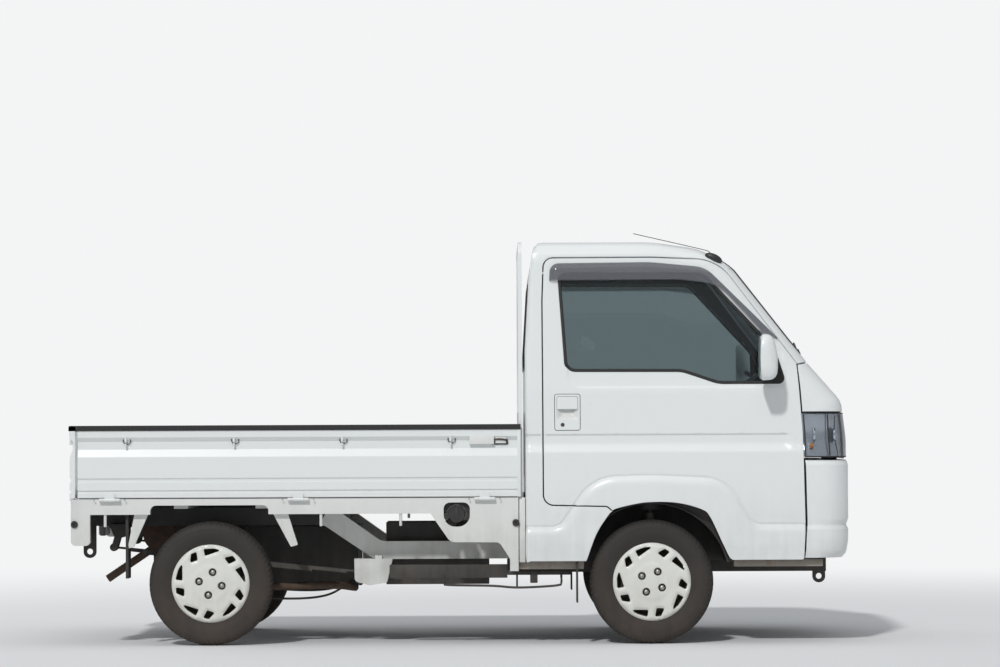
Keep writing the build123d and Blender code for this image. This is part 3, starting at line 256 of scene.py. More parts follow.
class Relief:
    """Height map over one side of the cab, from distances worked out once and looked up after that."""

    PITCH = 5.0
    LOW = (0.0, 200.0)
    HIGH = (1800.0, 1400.0)

    def __init__(self) -> None:
        """Works out the distances from the flare's and the pressed band's edges."""
        across = np.arange(self.LOW[0], self.HIGH[0], self.PITCH)
        up = np.arange(self.LOW[1], self.HIGH[1], self.PITCH)
        grid = np.stack(np.meshgrid(across, up, indexing="ij"), axis=-1).reshape(-1, 2)
        self.shape = (len(across), len(up))
        self.flare = self.signed_depth(grid, rounded(FLARE_EDGE, 12.0)).reshape(self.shape)
        self.band = self.signed_depth(grid, rounded(WINDOW_PRESSING, 12.0)).reshape(self.shape)

    @staticmethod
    def signed_depth(points: np.ndarray, loop: np.ndarray) -> np.ndarray:
        """Distance from a closed loop, positive for the points inside it."""
        best = np.full(len(points), 1e9)
        for start, end in zip(loop, np.roll(loop, -1, axis=0)):
            run = end - start
            share = np.clip(((points - start) @ run) / max(float(run @ run), 1e-9), 0.0, 1.0)
            best = np.minimum(best, np.linalg.norm(points - start - share[:, None] * run, axis=1))
        return np.where(inside(points, loop), best, -best)

    @staticmethod
    def depth_inside(points: np.ndarray, loop: np.ndarray) -> np.ndarray:
        """Distance from a closed loop for the points inside it, and zero outside."""
        return np.maximum(Relief.signed_depth(points, loop), 0.0)

    def __call__(self, along: np.ndarray, height: np.ndarray) -> np.ndarray:
        """Looks the relief up between the grid's points.

        Args:
            along: X in millimetres.
            height: Z in millimetres.

        Returns:
            Height of the relief above the plain side, in millimetres.
        """
        rows, columns = self.shape
        a = np.clip((along - self.LOW[0]) / self.PITCH, 0.0, rows - 1.001)
        b = np.clip((height - self.LOW[1]) / self.PITCH, 0.0, columns - 1.001)
        i, j = a.astype(int), b.astype(int)
        a, b = a - i, b - j
        depths = []
        for v in (self.flare, self.band):
            low = v[i, j] * (1 - a) + v[i + 1, j] * a
            high = v[i, j + 1] * (1 - a) + v[i + 1, j + 1] * a
            depths.append(low * (1 - b) + high * b)
        rise = 1.0 - (1.0 - np.clip(depths[0] / FLARE_SHOULDER, 0.0, 1.0)) ** 2.4
        waist = 1.0 - field_level(height, WAIST_Z - WAIST_HALF, WAIST_Z + WAIST_HALF)
        groove = WAIST_DEPTH * waist * field_level(height, *WAIST_FOOT)
        rim = 3.4 * np.exp(-((depths[0] + 2.5) / 4.2) ** 2)
        groove = groove * (1.0 - field_level(along, *WAIST_END)) + rim
        return FLARE_DEPTH * rise - PRESSING_DEPTH * field_level(depths[1], 0.0, 10.0) - groove


def crease_places() -> np.ndarray:
    """Places, as along and height, of vertices that the creases of the cab's sides need."""
    lines = []
    along = np.arange(CAB_REAR_X + 4.0, 1436.0, 18.0)
    for height in (-80.0, -68.0, -56.0, -44.0, -9.0, -4.0, -1.5, 1.5, 4.0, 9.0):
        lines.append(np.stack((along, np.full(len(along), WAIST_Z + height)), axis=1))
    flare = rounded(FLARE_EDGE, 15.0)
    for depth in (13.0, 7.0, 3.5, 0.5, -4.0, -9.0, -17.0, -29.0, -44.0):
        lines.append(grown(flare, depth))
    band = rounded(WINDOW_PRESSING, 15.0)
    for depth in (1.0, -3.0, -7.0, -11.0):
        lines.append(grown(band, depth))
    return np.concatenate(lines)


class CabForm:
    """Outer form of the cab as a field in millimetres, negative inside."""

    def __init__(self) -> None:
        """Lays out the profiles that the field reads."""
        self.section = rounded(CAB_SECTION, 8.0, closed=False)
        self.front = rounded(tuple(reversed(CAB_FRONT)), 8.0, closed=False)
        self.roof = rounded(CAB_ROOF, 20.0, closed=False)
        self.back = rounded(CAB_BACK, 20.0, closed=False)
        slope = np.gradient(self.front[:, 1], self.front[:, 0])
        self.front_slant = 1.0 / np.sqrt(1.0 + slope * slope)
        self.relief = Relief()

    def __call__(self, x: np.ndarray, y: np.ndarray, z: np.ndarray) -> np.ndarray:
        """Field at the given points."""
        out = np.abs(y)
        side = out - np.interp(z, self.section[:, 0], self.section[:, 1]) - self.relief(x, z)
        roof = z - np.interp(x, self.roof[:, 0], self.roof[:, 1]) + y * y / ROOF_CROWN
        bowed = np.hypot(x - BOW_AXIS_X, y) + BOW_AXIS_X
        front = bowed - np.interp(z, self.front[:, 0], self.front[:, 1])
        front = front * np.interp(z, self.front[:, 0], self.front_slant)
        back = np.interp(z, self.back[:, 0], self.back[:, 1]) - x
        form = round_join(round_join(side, roof, RAIL_RADIUS), front, PILLAR_RADIUS)
        return round_join(form, back, BACK_RADIUS)


# Bumper seen from the side: height, along, corner radius
BUMPER_FRONT = (
    (330.0, FRONT_X - 75.0, 0.0), (362.0, FRONT_X - 32.0, 20.0), (388.0, FRONT_X - 10.0, 24.0),
    (437.0, FRONT_X - 1.0, 60.0), (490.0, FRONT_X, 8.0), (508.0, FRONT_X - 10.0, 7.0), (532.0, FRONT_X, 12.0),
    (770.0, FRONT_X, 14.0),
    (790.0, FRONT_X - 9.0, 6.0), (840.0, FRONT_X - 60.0, 0.0),
)
# Bumper seen from the front: height, half width, corner radius
BUMPER_SECTION = (
    (330.0, 706.0, 0.0), (362.0, 722.0, 20.0), (400.0, 734.0, 30.0), (450.0, HALF_WIDTH, 40.0),
    (490.0, HALF_WIDTH, 10.0), (509.0, 728.0, 7.0), (535.0, 730.0, 20.0), (770.0, 730.0, 14.0),
    (790.0, 722.0, 6.0), (840.0, 670.0, 0.0),
)
# Heights that need a row of vertices along the bumper's groove and steps
BUMPER_ROWS = (486.0, 493.0, 499.0, 504.0, 508.0, 512.0, 518.0, 526.0, 536.0, 762.0, 774.0, 781.0)


class BumperForm:
    """Outer form of the bumper as a field in millimetres, negative inside."""

    CORNER = 112.0

    def __init__(self) -> None:
        """Lays out the bumper's two profiles."""
        self.front = rounded(BUMPER_FRONT, 8.0, closed=False)
        self.section = rounded(BUMPER_SECTION, 8.0, closed=False)

    def __call__(self, x: np.ndarray, y: np.ndarray, z: np.ndarray) -> np.ndarray:
        """Field at the given points."""
        side = np.abs(y) - np.interp(z, self.section[:, 0], self.section[:, 1])
        bowed = np.hypot(x - BOW_AXIS_X, y) + BOW_AXIS_X
        return round_join(side, bowed - np.interp(z, self.front[:, 0], self.front[:, 1]), self.CORNER)


Form = Callable[[np.ndarray, np.ndarray, np.ndarray], np.ndarray]


class Surface:
    """Surface with two coordinates of its own, in millimetres."""

    hand = 1.0

    def points(self, uv: np.ndarray) -> np.ndarray:
        """Points in space for coordinates of shape (count, 2)."""
        raise NotImplementedError

    def coordinates(self, points: np.ndarray) -> np.ndarray:
        """Coordinates nearest to points in space."""
        raise NotImplementedError

    def normals(self, points: np.ndarray) -> np.ndarray:
        """Outward unit normals at points on the surface."""
        raise NotImplementedError


class Flat(Surface):
    """Plane with an origin and two unit directions."""

    def __init__(self, origin: Point, across: Point, up: Point) -> None:
        """Keeps the origin and directions; the normal is across times up."""
        self.origin = np.array(origin, float)
        self.across = np.array(across, float)
        self.up = np.array(up, float)
        self.normal = np.cross(self.across, self.up)

    def points(self, uv: np.ndarray) -> np.ndarray:
        """Points on the plane."""
        return self.origin + uv[:, :1] * self.across + uv[:, 1:2] * self.up

    def coordinates(self, points: np.ndarray) -> np.ndarray:
        """Coordinates of points projected on the plane."""
        return np.stack(((points - self.origin) @ self.across, (points - self.origin) @ self.up), axis=1)

    def normals(self, points: np.ndarray) -> np.ndarray:
        """The plane's one normal, repeated."""
        return np.tile(self.normal, (len(points), 1))


def side_plane(side: Side, out: float) -> Flat:
    """Upright plane along the truck whose normal points away from its middle."""
    if side is Side.RIGHT:
        return Flat((0.0, -out, 0.0), (1.0, 0.0, 0.0), (0.0, 0.0, 1.0))
    return Flat((0.0, out, 0.0), (-1.0, 0.0, 0.0), (0.0, 0.0, 1.0))


class Ray(Enum):
    """How a formed surface is seen from inside the cab."""

    RIGHT = "right"
    LEFT = "left"
    WRAP = "wrap"
    NOSE = "nose"
    BACK = "back"


def distances(
    form: Form, start: np.ndarray, way: np.ndarray, level: float, reach: float = 1500.0, steps: int = 34,
) -> np.ndarray:
    """Distances along rays from inside a form to where its field rises above a level.

    Args:
        form: The form's field.
        start: Start of each ray, shape (count, 3).
        way: Unit direction of the rays, of the same shape or one for all.
        level: Level of the field in millimetres.
        reach: Length of the longest ray.
        steps: How often it is halved.

    Returns:
        One distance for each ray, found by halving.
    """
    low = np.zeros(len(start))
    high = np.full(len(start), reach)
    for _ in range(steps):
        middle = (low + high) / 2
        out = form(*(start + way * middle[:, None]).T) > level
        high = np.where(out, middle, high)
        low = np.where(out, low, middle)
    return low


class Formed(Surface):
    """Level of a form, found along rays that start inside it."""

    WRAP_Z = 850.0
    WRAP_SCALE = 700.0
    NOSE_X = 1200.0
    NOSE_SCALE = 600.0
    BACK_X = 900.0
    PROBE = 3.0

    def __init__(self, form: Form, ray: Ray, inset: float = 0.0) -> None:
        """Keeps the form, the way its rays run and how far inside the form the surface lies."""
        self.form = form
        self.ray = ray
        self.inset = inset
        self.hand = -1.0 if ray in (Ray.LEFT, Ray.BACK) else 1.0

    def rays(self, uv: np.ndarray) -> tuple[np.ndarray, np.ndarray]:
        """Start and direction of the ray for each pair of coordinates."""
        u, v = uv[:, 0], uv[:, 1]
        zero = np.zeros(len(uv))
        if self.ray in (Ray.RIGHT, Ray.LEFT):
            sign = -1.0 if self.ray is Ray.RIGHT else 1.0
            return np.stack((u, zero, v), axis=1), np.stack((zero, zero + sign, zero), axis=1)
        if self.ray is Ray.WRAP:
            angle = v / self.WRAP_SCALE
            way = np.stack((zero, -np.cos(angle), np.sin(angle)), axis=1)
            return np.stack((u, zero, zero + self.WRAP_Z), axis=1), way
        if self.ray is Ray.NOSE:
            angle = u / self.NOSE_SCALE
            way = np.stack((np.cos(angle), np.sin(angle), zero), axis=1)
            return np.stack((zero + self.NOSE_X, zero, v), axis=1), way
        return np.stack((zero + self.BACK_X, u, v), axis=1), np.stack((zero - 1.0, zero, zero), axis=1)

    def points(self, uv: np.ndarray) -> np.ndarray:
        """Points where the rays leave the form."""
        start, way = self.rays(uv)
        return start + way * distances(self.form, start, way, -self.inset)[:, None]

    def coordinates(self, points: np.ndarray) -> np.ndarray:
        """Coordinates of the rays through points in space."""
        x, y, z = points[:, 0], points[:, 1], points[:, 2]
        if self.ray in (Ray.RIGHT, Ray.LEFT):
            return np.stack((x, z), axis=1)
        if self.ray is Ray.WRAP:
            angle = np.arctan2(z - self.WRAP_Z, -y)
            angle = np.where(angle < -math.pi / 2, angle + 2 * math.pi, angle)
            return np.stack((x, angle * self.WRAP_SCALE), axis=1)
        if self.ray is Ray.NOSE:
            return np.stack((np.arctan2(y, x - self.NOSE_X) * self.NOSE_SCALE, z), axis=1)
        return np.stack((y, z), axis=1)

    def normals(self, points: np.ndarray) -> np.ndarray:
        """Slope of the form at points in space, as unit vectors."""
        slope = np.zeros_like(points)
        for axis in range(3):
            step = np.zeros(3)
            step[axis] = self.PROBE
            slope[:, axis] = self.form(*(points + step).T) - self.form(*(points - step).T)
        return slope / np.maximum(np.linalg.norm(slope, axis=1, keepdims=True), 1e-9)


def unit(rows: np.ndarray) -> np.ndarray:
    """Scales each row to length one."""
    return rows / np.maximum(np.linalg.norm(rows, axis=1, keepdims=True), 1e-9)


class MeshParts:
    """Vertices, normals and faces gathered for one piece."""

    def __init__(self) -> None:
        """Starts with nothing in it."""
        self.places: list[np.ndarray] = []
        self.normals: list[np.ndarray] = []
        self.faces: list[tuple[int, ...]] = []
        self.slots: list[int] = []
        self.count = 0

    def add(self, places: np.ndarray, normals: np.ndarray) -> int:
        """Adds vertices and returns the index of the first."""
        self.places.append(places)
        self.normals.append(normals)
        start = self.count
        self.count += len(places)
        return start

    def face(self, corners: Sequence[int], slot: int = 0) -> None:
        """Adds one face."""
        self.faces.append(tuple(int(corner) for corner in corners))
        self.slots.append(slot)

    def strip(self, first: int, second: int, count: int, flip: bool, slot: int = 0) -> None:
        """Joins two closed rows of vertices with quads."""
        for index in range(count):
            following = (index + 1) % count
            quad = (first + index, first + following, second + following, second + index)
            self.face(quad[::-1] if flip else quad, slot)

    def build(
        self, name: str, materials: Sequence[bpy.types.Material], exact: bool = True,
    ) -> bpy.types.Object:
        """Makes the object.

        Args:
            name: Name of the piece.
            materials: Its materials, in the order of the faces' slots.
            exact: Whether the gathered normals are used, or worked out from the faces.

        Returns:
            The new object, linked to the scene.
        """
        mesh = bpy.data.meshes.new(name)
        places = np.concatenate(self.places) * MM
        mesh.from_pydata(places.tolist(), [], self.faces)
        for material in materials:
            mesh.materials.append(material)
        mesh.polygons.foreach_set("material_index", self.slots)
        mesh.polygons.foreach_set("use_smooth", [True] * len(self.faces))
        if exact:
            mesh.normals_split_custom_set_from_vertices(np.concatenate(self.normals).tolist())
        mesh.update()
        piece = bpy.data.objects.new(name, mesh)
        bpy.context.scene.collection.objects.link(piece)
        return piece


Lift = Callable[[np.ndarray], np.ndarray]
# Number of steps in a sheet's rounded edge, and its largest radius as a share of the thickness
EDGE_RINGS = 3
EDGE_SHARE = 0.49
# Least distance of a grid vertex from the others as a share of the spacing, and of an extra one
GRID_CLEAR = 0.45
EXTRA_CLEAR = 4.0


def lifted(surface: Surface, uv: np.ndarray, lift: Optional[Lift]) -> tuple[np.ndarray, np.ndarray]:
    """Points and normals of a surface, with the points raised where there is a lift."""
    places = surface.points(uv)
    normals = surface.normals(places)
    if lift is not None:
        places = places + normals * lift(uv)[:, None]
    return places, normals


def within(points: np.ndarray, loops: Sequence[np.ndarray]) -> np.ndarray:
    """Tells which points lie inside the first loop and outside the others."""
    keep = inside(points, loops[0])
    for hole in loops[1:]:
        keep &= ~inside(points, hole)
    return keep


def spread_vertices(loops: Sequence[np.ndarray], spacing: float, extra: Optional[np.ndarray]) -> np.ndarray:
    """Vertices of a sheet: its outlines, then the extra ones, then a grid that keeps clear of them."""
    low, high = loops[0].min(axis=0), loops[0].max(axis=0)
    columns = np.arange(low[0] + spacing / 2, high[0], spacing)
    rows = np.arange(low[1] + spacing / 2, high[1], spacing)
    grid = np.stack(np.meshgrid(columns, rows), axis=-1).reshape(-1, 2)
    vertices = np.concatenate(loops)
    for points, clear in ((extra, EXTRA_CLEAR), (grid, spacing * GRID_CLEAR)):
        points = points[within(points, loops)] if points is not None else ()
        if not len(points):
            continue
        gap = np.array([np.min(np.sum((vertices - point) ** 2, axis=1)) for point in points])
        vertices = np.concatenate((vertices, points[gap > clear ** 2]))
    return vertices


def triangulated(loops: Sequence[np.ndarray], vertices: np.ndarray) -> tuple[np.ndarray, np.ndarray]:
    """Joins vertices with triangles that keep inside the first loop and out of the others.

    Args:
        loops: Outline and holes, whose points are the first vertices.
        vertices: All the vertices.

    Returns:
        The vertices again and the corners of the triangles.
    """
    edges = []
    start = 0
    for loop in loops:
        edges += [(start + index, start + (index + 1) % len(loop)) for index in range(len(loop))]
        start += len(loop)
    solved, _, triangles, _, _, _ = delaunay_2d_cdt([Vector(v) for v in vertices], edges, [], 0, 1e-4)
    uv = np.array([tuple(v) for v in solved])
    triangles = np.array([corners for corners in triangles if len(corners) == 3])
    return uv, triangles[within(uv[triangles].mean(axis=1), loops)]


def round_rim(
    target: MeshParts, places: np.ndarray, normals: np.ndarray, out: np.ndarray, edge: float,
    thickness: float,
) -> None:
    """Rounds one rim of a sheet, from its outer face to its inner face.

    Args:
        target: Mesh to add to.
        places: Points of the rim.
        normals: Normals of the outer face there.
        out: Directions outwards from the sheet.
        edge: Radius of the rounding.
        thickness: Thickness of the sheet.
    """
    starts = []
    for way, near in ((1.0, 0.0), (-1.0, thickness)):
        for step in range(EDGE_RINGS + 1) if way > 0.0 else range(EDGE_RINGS, -1, -1):
            angle = math.pi / 2 * step / EDGE_RINGS
            depth = near + way * (edge * (1 - math.cos(angle)))
            shift = out * (edge * (1 - math.sin(angle))) + normals * depth
            facing = normals * (way * math.cos(angle)) + out * math.sin(angle)
            starts.append(target.add(places - shift, facing))
    for first, second in zip(starts, starts[1:]):
        target.strip(first, second, len(places), flip=True)


def panel(
    name: str,
    surface: Surface,
    outer: np.ndarray,
    materials: Sequence[bpy.types.Material],
    holes: Iterable[np.ndarray] = (),
    thickness: float = 20.0,
    edge: float = 2.5,
    spacing: float = 24.0,
    lift: Optional[Lift] = None,
    extra: Optional[np.ndarray] = None,
    parts: Optional[MeshParts] = None,
) -> Optional[bpy.types.Object]:
    """Builds a sheet of even thickness on a surface, with rounded edges and holes.

    Args:
        name: Name of the piece.
        surface: Surface that its outer face follows.
        outer: Outline in the surface's coordinates.
        materials: Material of the outer face and edges, and of the inner face if it differs.
        holes: Outlines of the holes.
        thickness: Thickness in millimetres.
        edge: Radius of the edges.
        spacing: Distance between the inner vertices.
        lift: Extra height outwards for given coordinates, in millimetres.
        extra: Places of further vertices, such as along a crease.
        parts: Mesh to add to instead of building an object.

    Returns:
        The object, or None where parts was given.
    """
    edge = min(edge, thickness * EDGE_SHARE)
    target = parts or MeshParts()
    hand = surface.hand
    loops = [outer if signed_area(outer) * hand > 0 else outer[::-1]]
    loops += [hole if signed_area(hole) * hand < 0 else hole[::-1] for hole in holes]
    rims = []
    for loop in loops:
        places, normals = lifted(surface, loop, lift)
        along = unit(np.roll(places, -1, axis=0) - np.roll(places, 1, axis=0))
        rims.append((places, normals, unit(np.cross(along, normals))))
    flat = [surface.coordinates(places - out * edge) for places, _, out in rims]
    uv, triangles = triangulated(flat, spread_vertices(flat, spacing, extra))
    places, normals = lifted(surface, uv, lift)
    top = target.add(places, normals)
    bottom = target.add(places - normals * thickness, -normals)
    inner_slot = 1 if len(materials) > 1 else 0
    for a, b, c in triangles:
        turn = (uv[b][0] - uv[a][0]) * (uv[c][1] - uv[a][1]) - (uv[b][1] - uv[a][1]) * (uv[c][0] - uv[a][0])
        if turn * hand < 0:
            b, c = c, b
        target.face((top + a, top + b, top + c))
        target.face((bottom + a, bottom + c, bottom + b), inner_slot)
    for places, normals, out in rims:
        round_rim(target, places, normals, out, edge, thickness)
    if parts is not None:
        return None
    return target.build(name, materials, exact=lift is None)


def sweep(
    parts: MeshParts, path: np.ndarray, across: np.ndarray, up: np.ndarray, section: Section,
    closed: bool = False,
) -> None:
    """Runs a closed section along a path.

    Args:
        parts: Mesh to add to.
        path: Points of the path.
        across: Unit direction of the section's first axis at each point.
        up: Unit direction of its second axis at each point.
        section: Corners of the section, anticlockwise seen against the path.
        closed: Whether the path closes on itself.
    """
    size = len(section)
    grid = np.stack([path + across * a + up * b for a, b in section], axis=1).reshape(-1, 3)
    start = parts.add(grid, np.zeros_like(grid))
    count = len(path)
    for index in range(count if closed else count - 1):
        following = (index + 1) % count
        for corner in range(size):
            other = (corner + 1) % size
            parts.face((
                start + index * size + corner, start + following * size + corner,
                start + following * size + other, start + index * size + other,
            ))
    if not closed:
        parts.face([start + corner for corner in range(size)])
        parts.face([start + (count - 1) * size + corner for corner in reversed(range(size))])


def smooth_path(points: Sequence[Point], step: float = 10.0) -> np.ndarray:
    """Runs a smooth line through the given points."""
    fixed = np.array(points, float)
    if len(fixed) < 3:
        pieces = max(1, int(np.linalg.norm(fixed[1] - fixed[0]) / step))
        return fixed[0] + (fixed[1] - fixed[0]) * np.linspace(0.0, 1.0, pieces + 1)[:, None]
    padded = np.vstack((2 * fixed[0] - fixed[1], fixed, 2 * fixed[-1] - fixed[-2]))
    rows = []
    for index in range(1, len(padded) - 2):
        a, b, c, d = padded[index - 1:index + 3]
        pieces = max(2, int(np.linalg.norm(c - b) / step))
        for part in range(pieces):
            t = part / pieces
            square, cube = 2 * a - 5 * b + 4 * c - d, 3 * b - a - 3 * c + d
            rows.append(0.5 * (2 * b + (c - a) * t + square * t * t + cube * t ** 3))
    rows.append(fixed[-1])
    return np.array(rows)


def tube(
    parts: MeshParts, points: Sequence[Point], radius: float, sides: int = 10, step: float = 12.0,
) -> None:
    """Adds a round bar that follows a smooth line."""
    path = smooth_path(points, step)
    along = unit(np.gradient(path, axis=0))
    helper = np.array((0.0, 0.0, 1.0)) if abs(along[:, 2]).mean() < 0.8 else np.array((1.0, 0.0, 0.0))
    across = unit(np.cross(helper, along))
    up = np.cross(along, across)
    turns = np.arange(sides) * math.tau / sides
    sweep(parts, path, across, up, [(radius * math.cos(turn), radius * math.sin(turn)) for turn in turns])


def smoothed(piece: bpy.types.Object, degrees: float, bevel: float = 0.0) -> bpy.types.Object:
    """Shades a piece smooth but for its sharp edges, and rounds those if asked.

    Args:
        piece: Piece whose faces are shaded.
        degrees: Angle above which an edge stays sharp.
        bevel: Width of the rounding in millimetres, or zero for none.

    Returns:
        The same piece.
    """
    mesh = piece.data
    if bevel:
        work = bmesh.new()
        work.from_mesh(mesh)
        bmesh.ops.remove_doubles(work, verts=work.verts, dist=1e-5)
        limit = math.radians(degrees)
        folded = [edge for edge in work.edges if len(edge.link_faces) == 2]
        sharp = [edge for edge in folded if edge.calc_face_angle(0.0) > limit]
        bmesh.ops.bevel(
            work, geom=sharp, offset=bevel * MM, segments=2, profile=0.5, affect="EDGES", clamp_overlap=True,
        )
        bmesh.ops.recalc_face_normals(work, faces=work.faces)
        work.to_mesh(mesh)
        work.free()
    mesh.polygons.foreach_set("use_smooth", [True] * len(mesh.polygons))
    mesh.set_sharp_from_angle(angle=math.radians(degrees))
    return piece


def place(piece: bpy.types.Object, body: str, slot: str, *nodes: str) -> bpy.types.Object:
    """Rides a piece on its body and hides the CAD nodes that it stands for."""
    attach(piece, body)
    if nodes:
        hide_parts(*nodes)
    LOG.info("%s rides on %s, %d faces", piece.name, body, len(piece.data.polygons))
    return piece


Tint = tuple[float, float, float]
NOWHERE = (0.0, 0.0, 0.0)


class Graph:
    """Lays out the nodes of one shader tree."""

    def __init__(self, tree: bpy.types.NodeTree) -> None:
        """Keeps the tree."""
        self.tree = tree

    def add(self, kind: str, values: Optional[dict] = None, **settings: object) -> bpy.types.Node:
        """Adds a node.

        Args:
            kind: Type of the node, without the prefix that all shader nodes have.
            values: Values or links of its inputs, by name or number.
            settings: Attributes of the node.

        Returns:
            The new node.
        """
        node = self.tree.nodes.new("ShaderNode" + kind)
        for label, setting in settings.items():
            setattr(node, label, setting)
        for label, value in (values or {}).items():
            if isinstance(value, bpy.types.NodeSocket):
                self.link(value, node.inputs[label])
            else:
                node.inputs[label].default_value = value
        return node

    def link(self, start: bpy.types.NodeSocket, end: bpy.types.NodeSocket) -> None:
        """Joins an output to an input."""
        self.tree.links.new(start, end)

    def calc(self, operation: str, *values: object, clamp: bool = False) -> bpy.types.NodeSocket:
        """Result of one operation on values or links."""
        return self.add("Math", dict(enumerate(values)), operation=operation, use_clamp=clamp).outputs[0]

    def mix(self, share: object, first: object, second: object) -> bpy.types.NodeSocket:
        """Colour between two colours, by a share."""
        return self.add("Mix", {0: share, 6: first, 7: second}, data_type="RGBA").outputs[2]

    def noise(
        self, place: object, scale: object, detail: float, roughness: float = 0.5,
    ) -> bpy.types.NodeSocket:
        """Soft noise at a place."""
        values = {"Vector": place, "Scale": scale, "Detail": detail, "Roughness": roughness}
        return self.add("TexNoise", values).outputs[0]

    def level(self, value: object, low: object, high: object, **settings: object) -> bpy.types.NodeSocket:
        """Share of the way of a value from low to high."""
        values = {"Value": value, "From Min": low, "From Max": high}
        return self.add("MapRange", values, **settings).outputs[0]


class Effects:
    """Shader node groups that several finishes share."""

    def __init__(self) -> None:
        """Builds every group once."""
        self.film = self.build_film()
        self.grain = self.build_grain()
        self.gloss = self.build_gloss()
        self.bloom = self.build_bloom()
        self.weave = self.build_weave()

    @staticmethod
    def group(name: str, inputs: dict, outputs: dict) -> tuple[Graph, bpy.types.Node, bpy.types.Node]:
        """Starts a group with named sockets.

        Args:
            name: Name of the group.
            inputs: Default of each input by name, which also tells its kind.
            outputs: Kind of each output by name.

        Returns:
            Its graph, and the nodes that stand for its inputs and outputs.
        """
        tree = bpy.data.node_groups.new(name, "ShaderNodeTree")
        for label, default in inputs.items():
            kind = {3: "Vector", 4: "Color"}[len(default)] if isinstance(default, tuple) else "Float"
            socket = tree.interface.new_socket(label, in_out="INPUT", socket_type="NodeSocket" + kind)
            socket.default_value = default
        for label, kind in outputs.items():
            tree.interface.new_socket(label, in_out="OUTPUT", socket_type="NodeSocket" + kind)
        return Graph(tree), tree.nodes.new("NodeGroupInput"), tree.nodes.new("NodeGroupOutput")

    def build_film(self) -> bpy.types.NodeTree:
        """Road film that thickens towards the ground, in patches and runs."""
        graph, start, end = self.group("Road film", {
            "Place": NOWHERE, "Paint": (0.8, 0.8, 0.8, 1.0), "Film": (0.3, 0.26, 0.2, 1.0), "Low": 0.3,
            "High": 1.0, "Strength": 0.4,
        }, {"Color": "Color", "Mask": "Float"})
        place = start.outputs["Place"]
        height = graph.add("SeparateXYZ", {0: place}).outputs["Z"]
        low, high = start.outputs["Low"], start.outputs["High"]
        level = graph.level(height, high, low, interpolation_type="SMOOTHSTEP")
        stretched = graph.add("VectorMath", {0: place, 1: (26.0, 26.0, 2.2)}, operation="MULTIPLY").outputs[0]
        both = graph.calc("ADD", graph.noise(place, 8.0, 7.0, 0.62), graph.noise(stretched, 1.0, 4.0))
        spread = graph.add("MapRange", {
            "Value": both, "From Min": 0.78, "From Max": 1.24, "To Min": 0.3, "To Max": 1.0,
        }).outputs[0]
        shaped = graph.calc("MULTIPLY", level, spread)
        mask = graph.calc("MULTIPLY", shaped, start.outputs["Strength"], clamp=True)
        graph.link(graph.mix(mask, start.outputs["Paint"], start.outputs["Film"]), end.inputs["Color"])
        graph.link(mask, end.inputs["Mask"])
        return graph.tree

    def build_grain(self) -> bpy.types.NodeTree:
        """Fine surface relief, as a normal."""
        graph, start, end = self.group(
            "Surface grain", {"Place": NOWHERE, "Scale": 400.0, "Depth": 0.0001}, {"Normal": "Vector"},
        )
        noise = graph.noise(start.outputs["Place"], start.outputs["Scale"], 4.0)
        bump = graph.add("Bump", {"Height": noise, "Distance": start.outputs["Depth"], "Strength": 1.0})
        graph.link(bump.outputs[0], end.inputs["Normal"])
        return graph.tree

    def build_gloss(self) -> bpy.types.NodeTree:
        """Roughness that changes in soft patches and with the dirt."""
        graph, start, end = self.group("Gloss patches", {
            "Place": NOWHERE, "Base": 0.4, "Spread": 0.1, "Scale": 12.0, "Dirt": 0.0,
        }, {"Roughness": "Float"})
        noise = graph.noise(start.outputs["Place"], start.outputs["Scale"], 5.0)
        centred = graph.calc("SUBTRACT", noise, 0.5)
        wide = graph.calc("MULTIPLY_ADD", centred, start.outputs["Spread"], start.outputs["Base"])
        total = graph.calc("MULTIPLY_ADD", start.outputs["Dirt"], 0.45, wide, clamp=True)
        graph.link(total, end.inputs["Roughness"])
        return graph.tree

    def build_bloom(self) -> bpy.types.NodeTree:
        """Spots and blooms of a second colour."""
        graph, start, end = self.group("Bloom", {
            "Place": NOWHERE, "Paint": (0.1, 0.1, 0.1, 1.0), "Bloom": (0.2, 0.08, 0.03, 1.0), "Amount": 0.3,
            "Scale": 20.0,
        }, {"Color": "Color"})
        place = start.outputs["Place"]
        edge = graph.calc("SUBTRACT", 0.72, start.outputs["Amount"])
        mask = graph.level(graph.noise(place, start.outputs["Scale"], 8.0, 0.7), edge, 0.8)
        shade = graph.add("MapRange", {
            "Value": graph.noise(place, 160.0, 4.0), "From Min": 0.3, "From Max": 0.7, "To Min": 0.55,
            "To Max": 1.2,
        }).outputs[0]
        dark = graph.add("VectorMath", {0: start.outputs["Bloom"], "Scale": shade}, operation="SCALE")
        graph.link(graph.mix(mask, start.outputs["Paint"], dark.outputs[0]), end.inputs["Color"])
        return graph.tree

    def build_weave(self) -> bpy.types.NodeTree:
        """Threads of a woven cloth, over and under."""
        graph, start, end = self.group(
            "Weave", {"Place": NOWHERE, "Scale": 900.0}, {"Height": "Float", "Shade": "Float"},
        )
        values = {"Vector": start.outputs["Place"], "Scale": start.outputs["Scale"], "Distortion": 0.4}
        waves = [graph.add("TexWave", values, bands_direction=direction).outputs[1] for direction in "XYZ"]
        both = graph.calc("MAXIMUM", graph.calc("MULTIPLY", waves[0], waves[1]), waves[2])
        cloud = graph.noise(start.outputs["Place"], 14.0, 3.0)
        graph.link(both, end.inputs["Height"])
        graph.link(graph.calc("MULTIPLY", both, cloud), end.inputs["Shade"])
        return graph.tree


def new_material(name: str) -> tuple[bpy.types.Material, Graph, bpy.types.Node]:
    """Starts a material, and gives its graph and its shader with it."""
    material = bpy.data.materials.new(name)
    material.use_nodes = True
    graph = Graph(material.node_tree)
    return material, graph, graph.tree.nodes["Principled BSDF"]


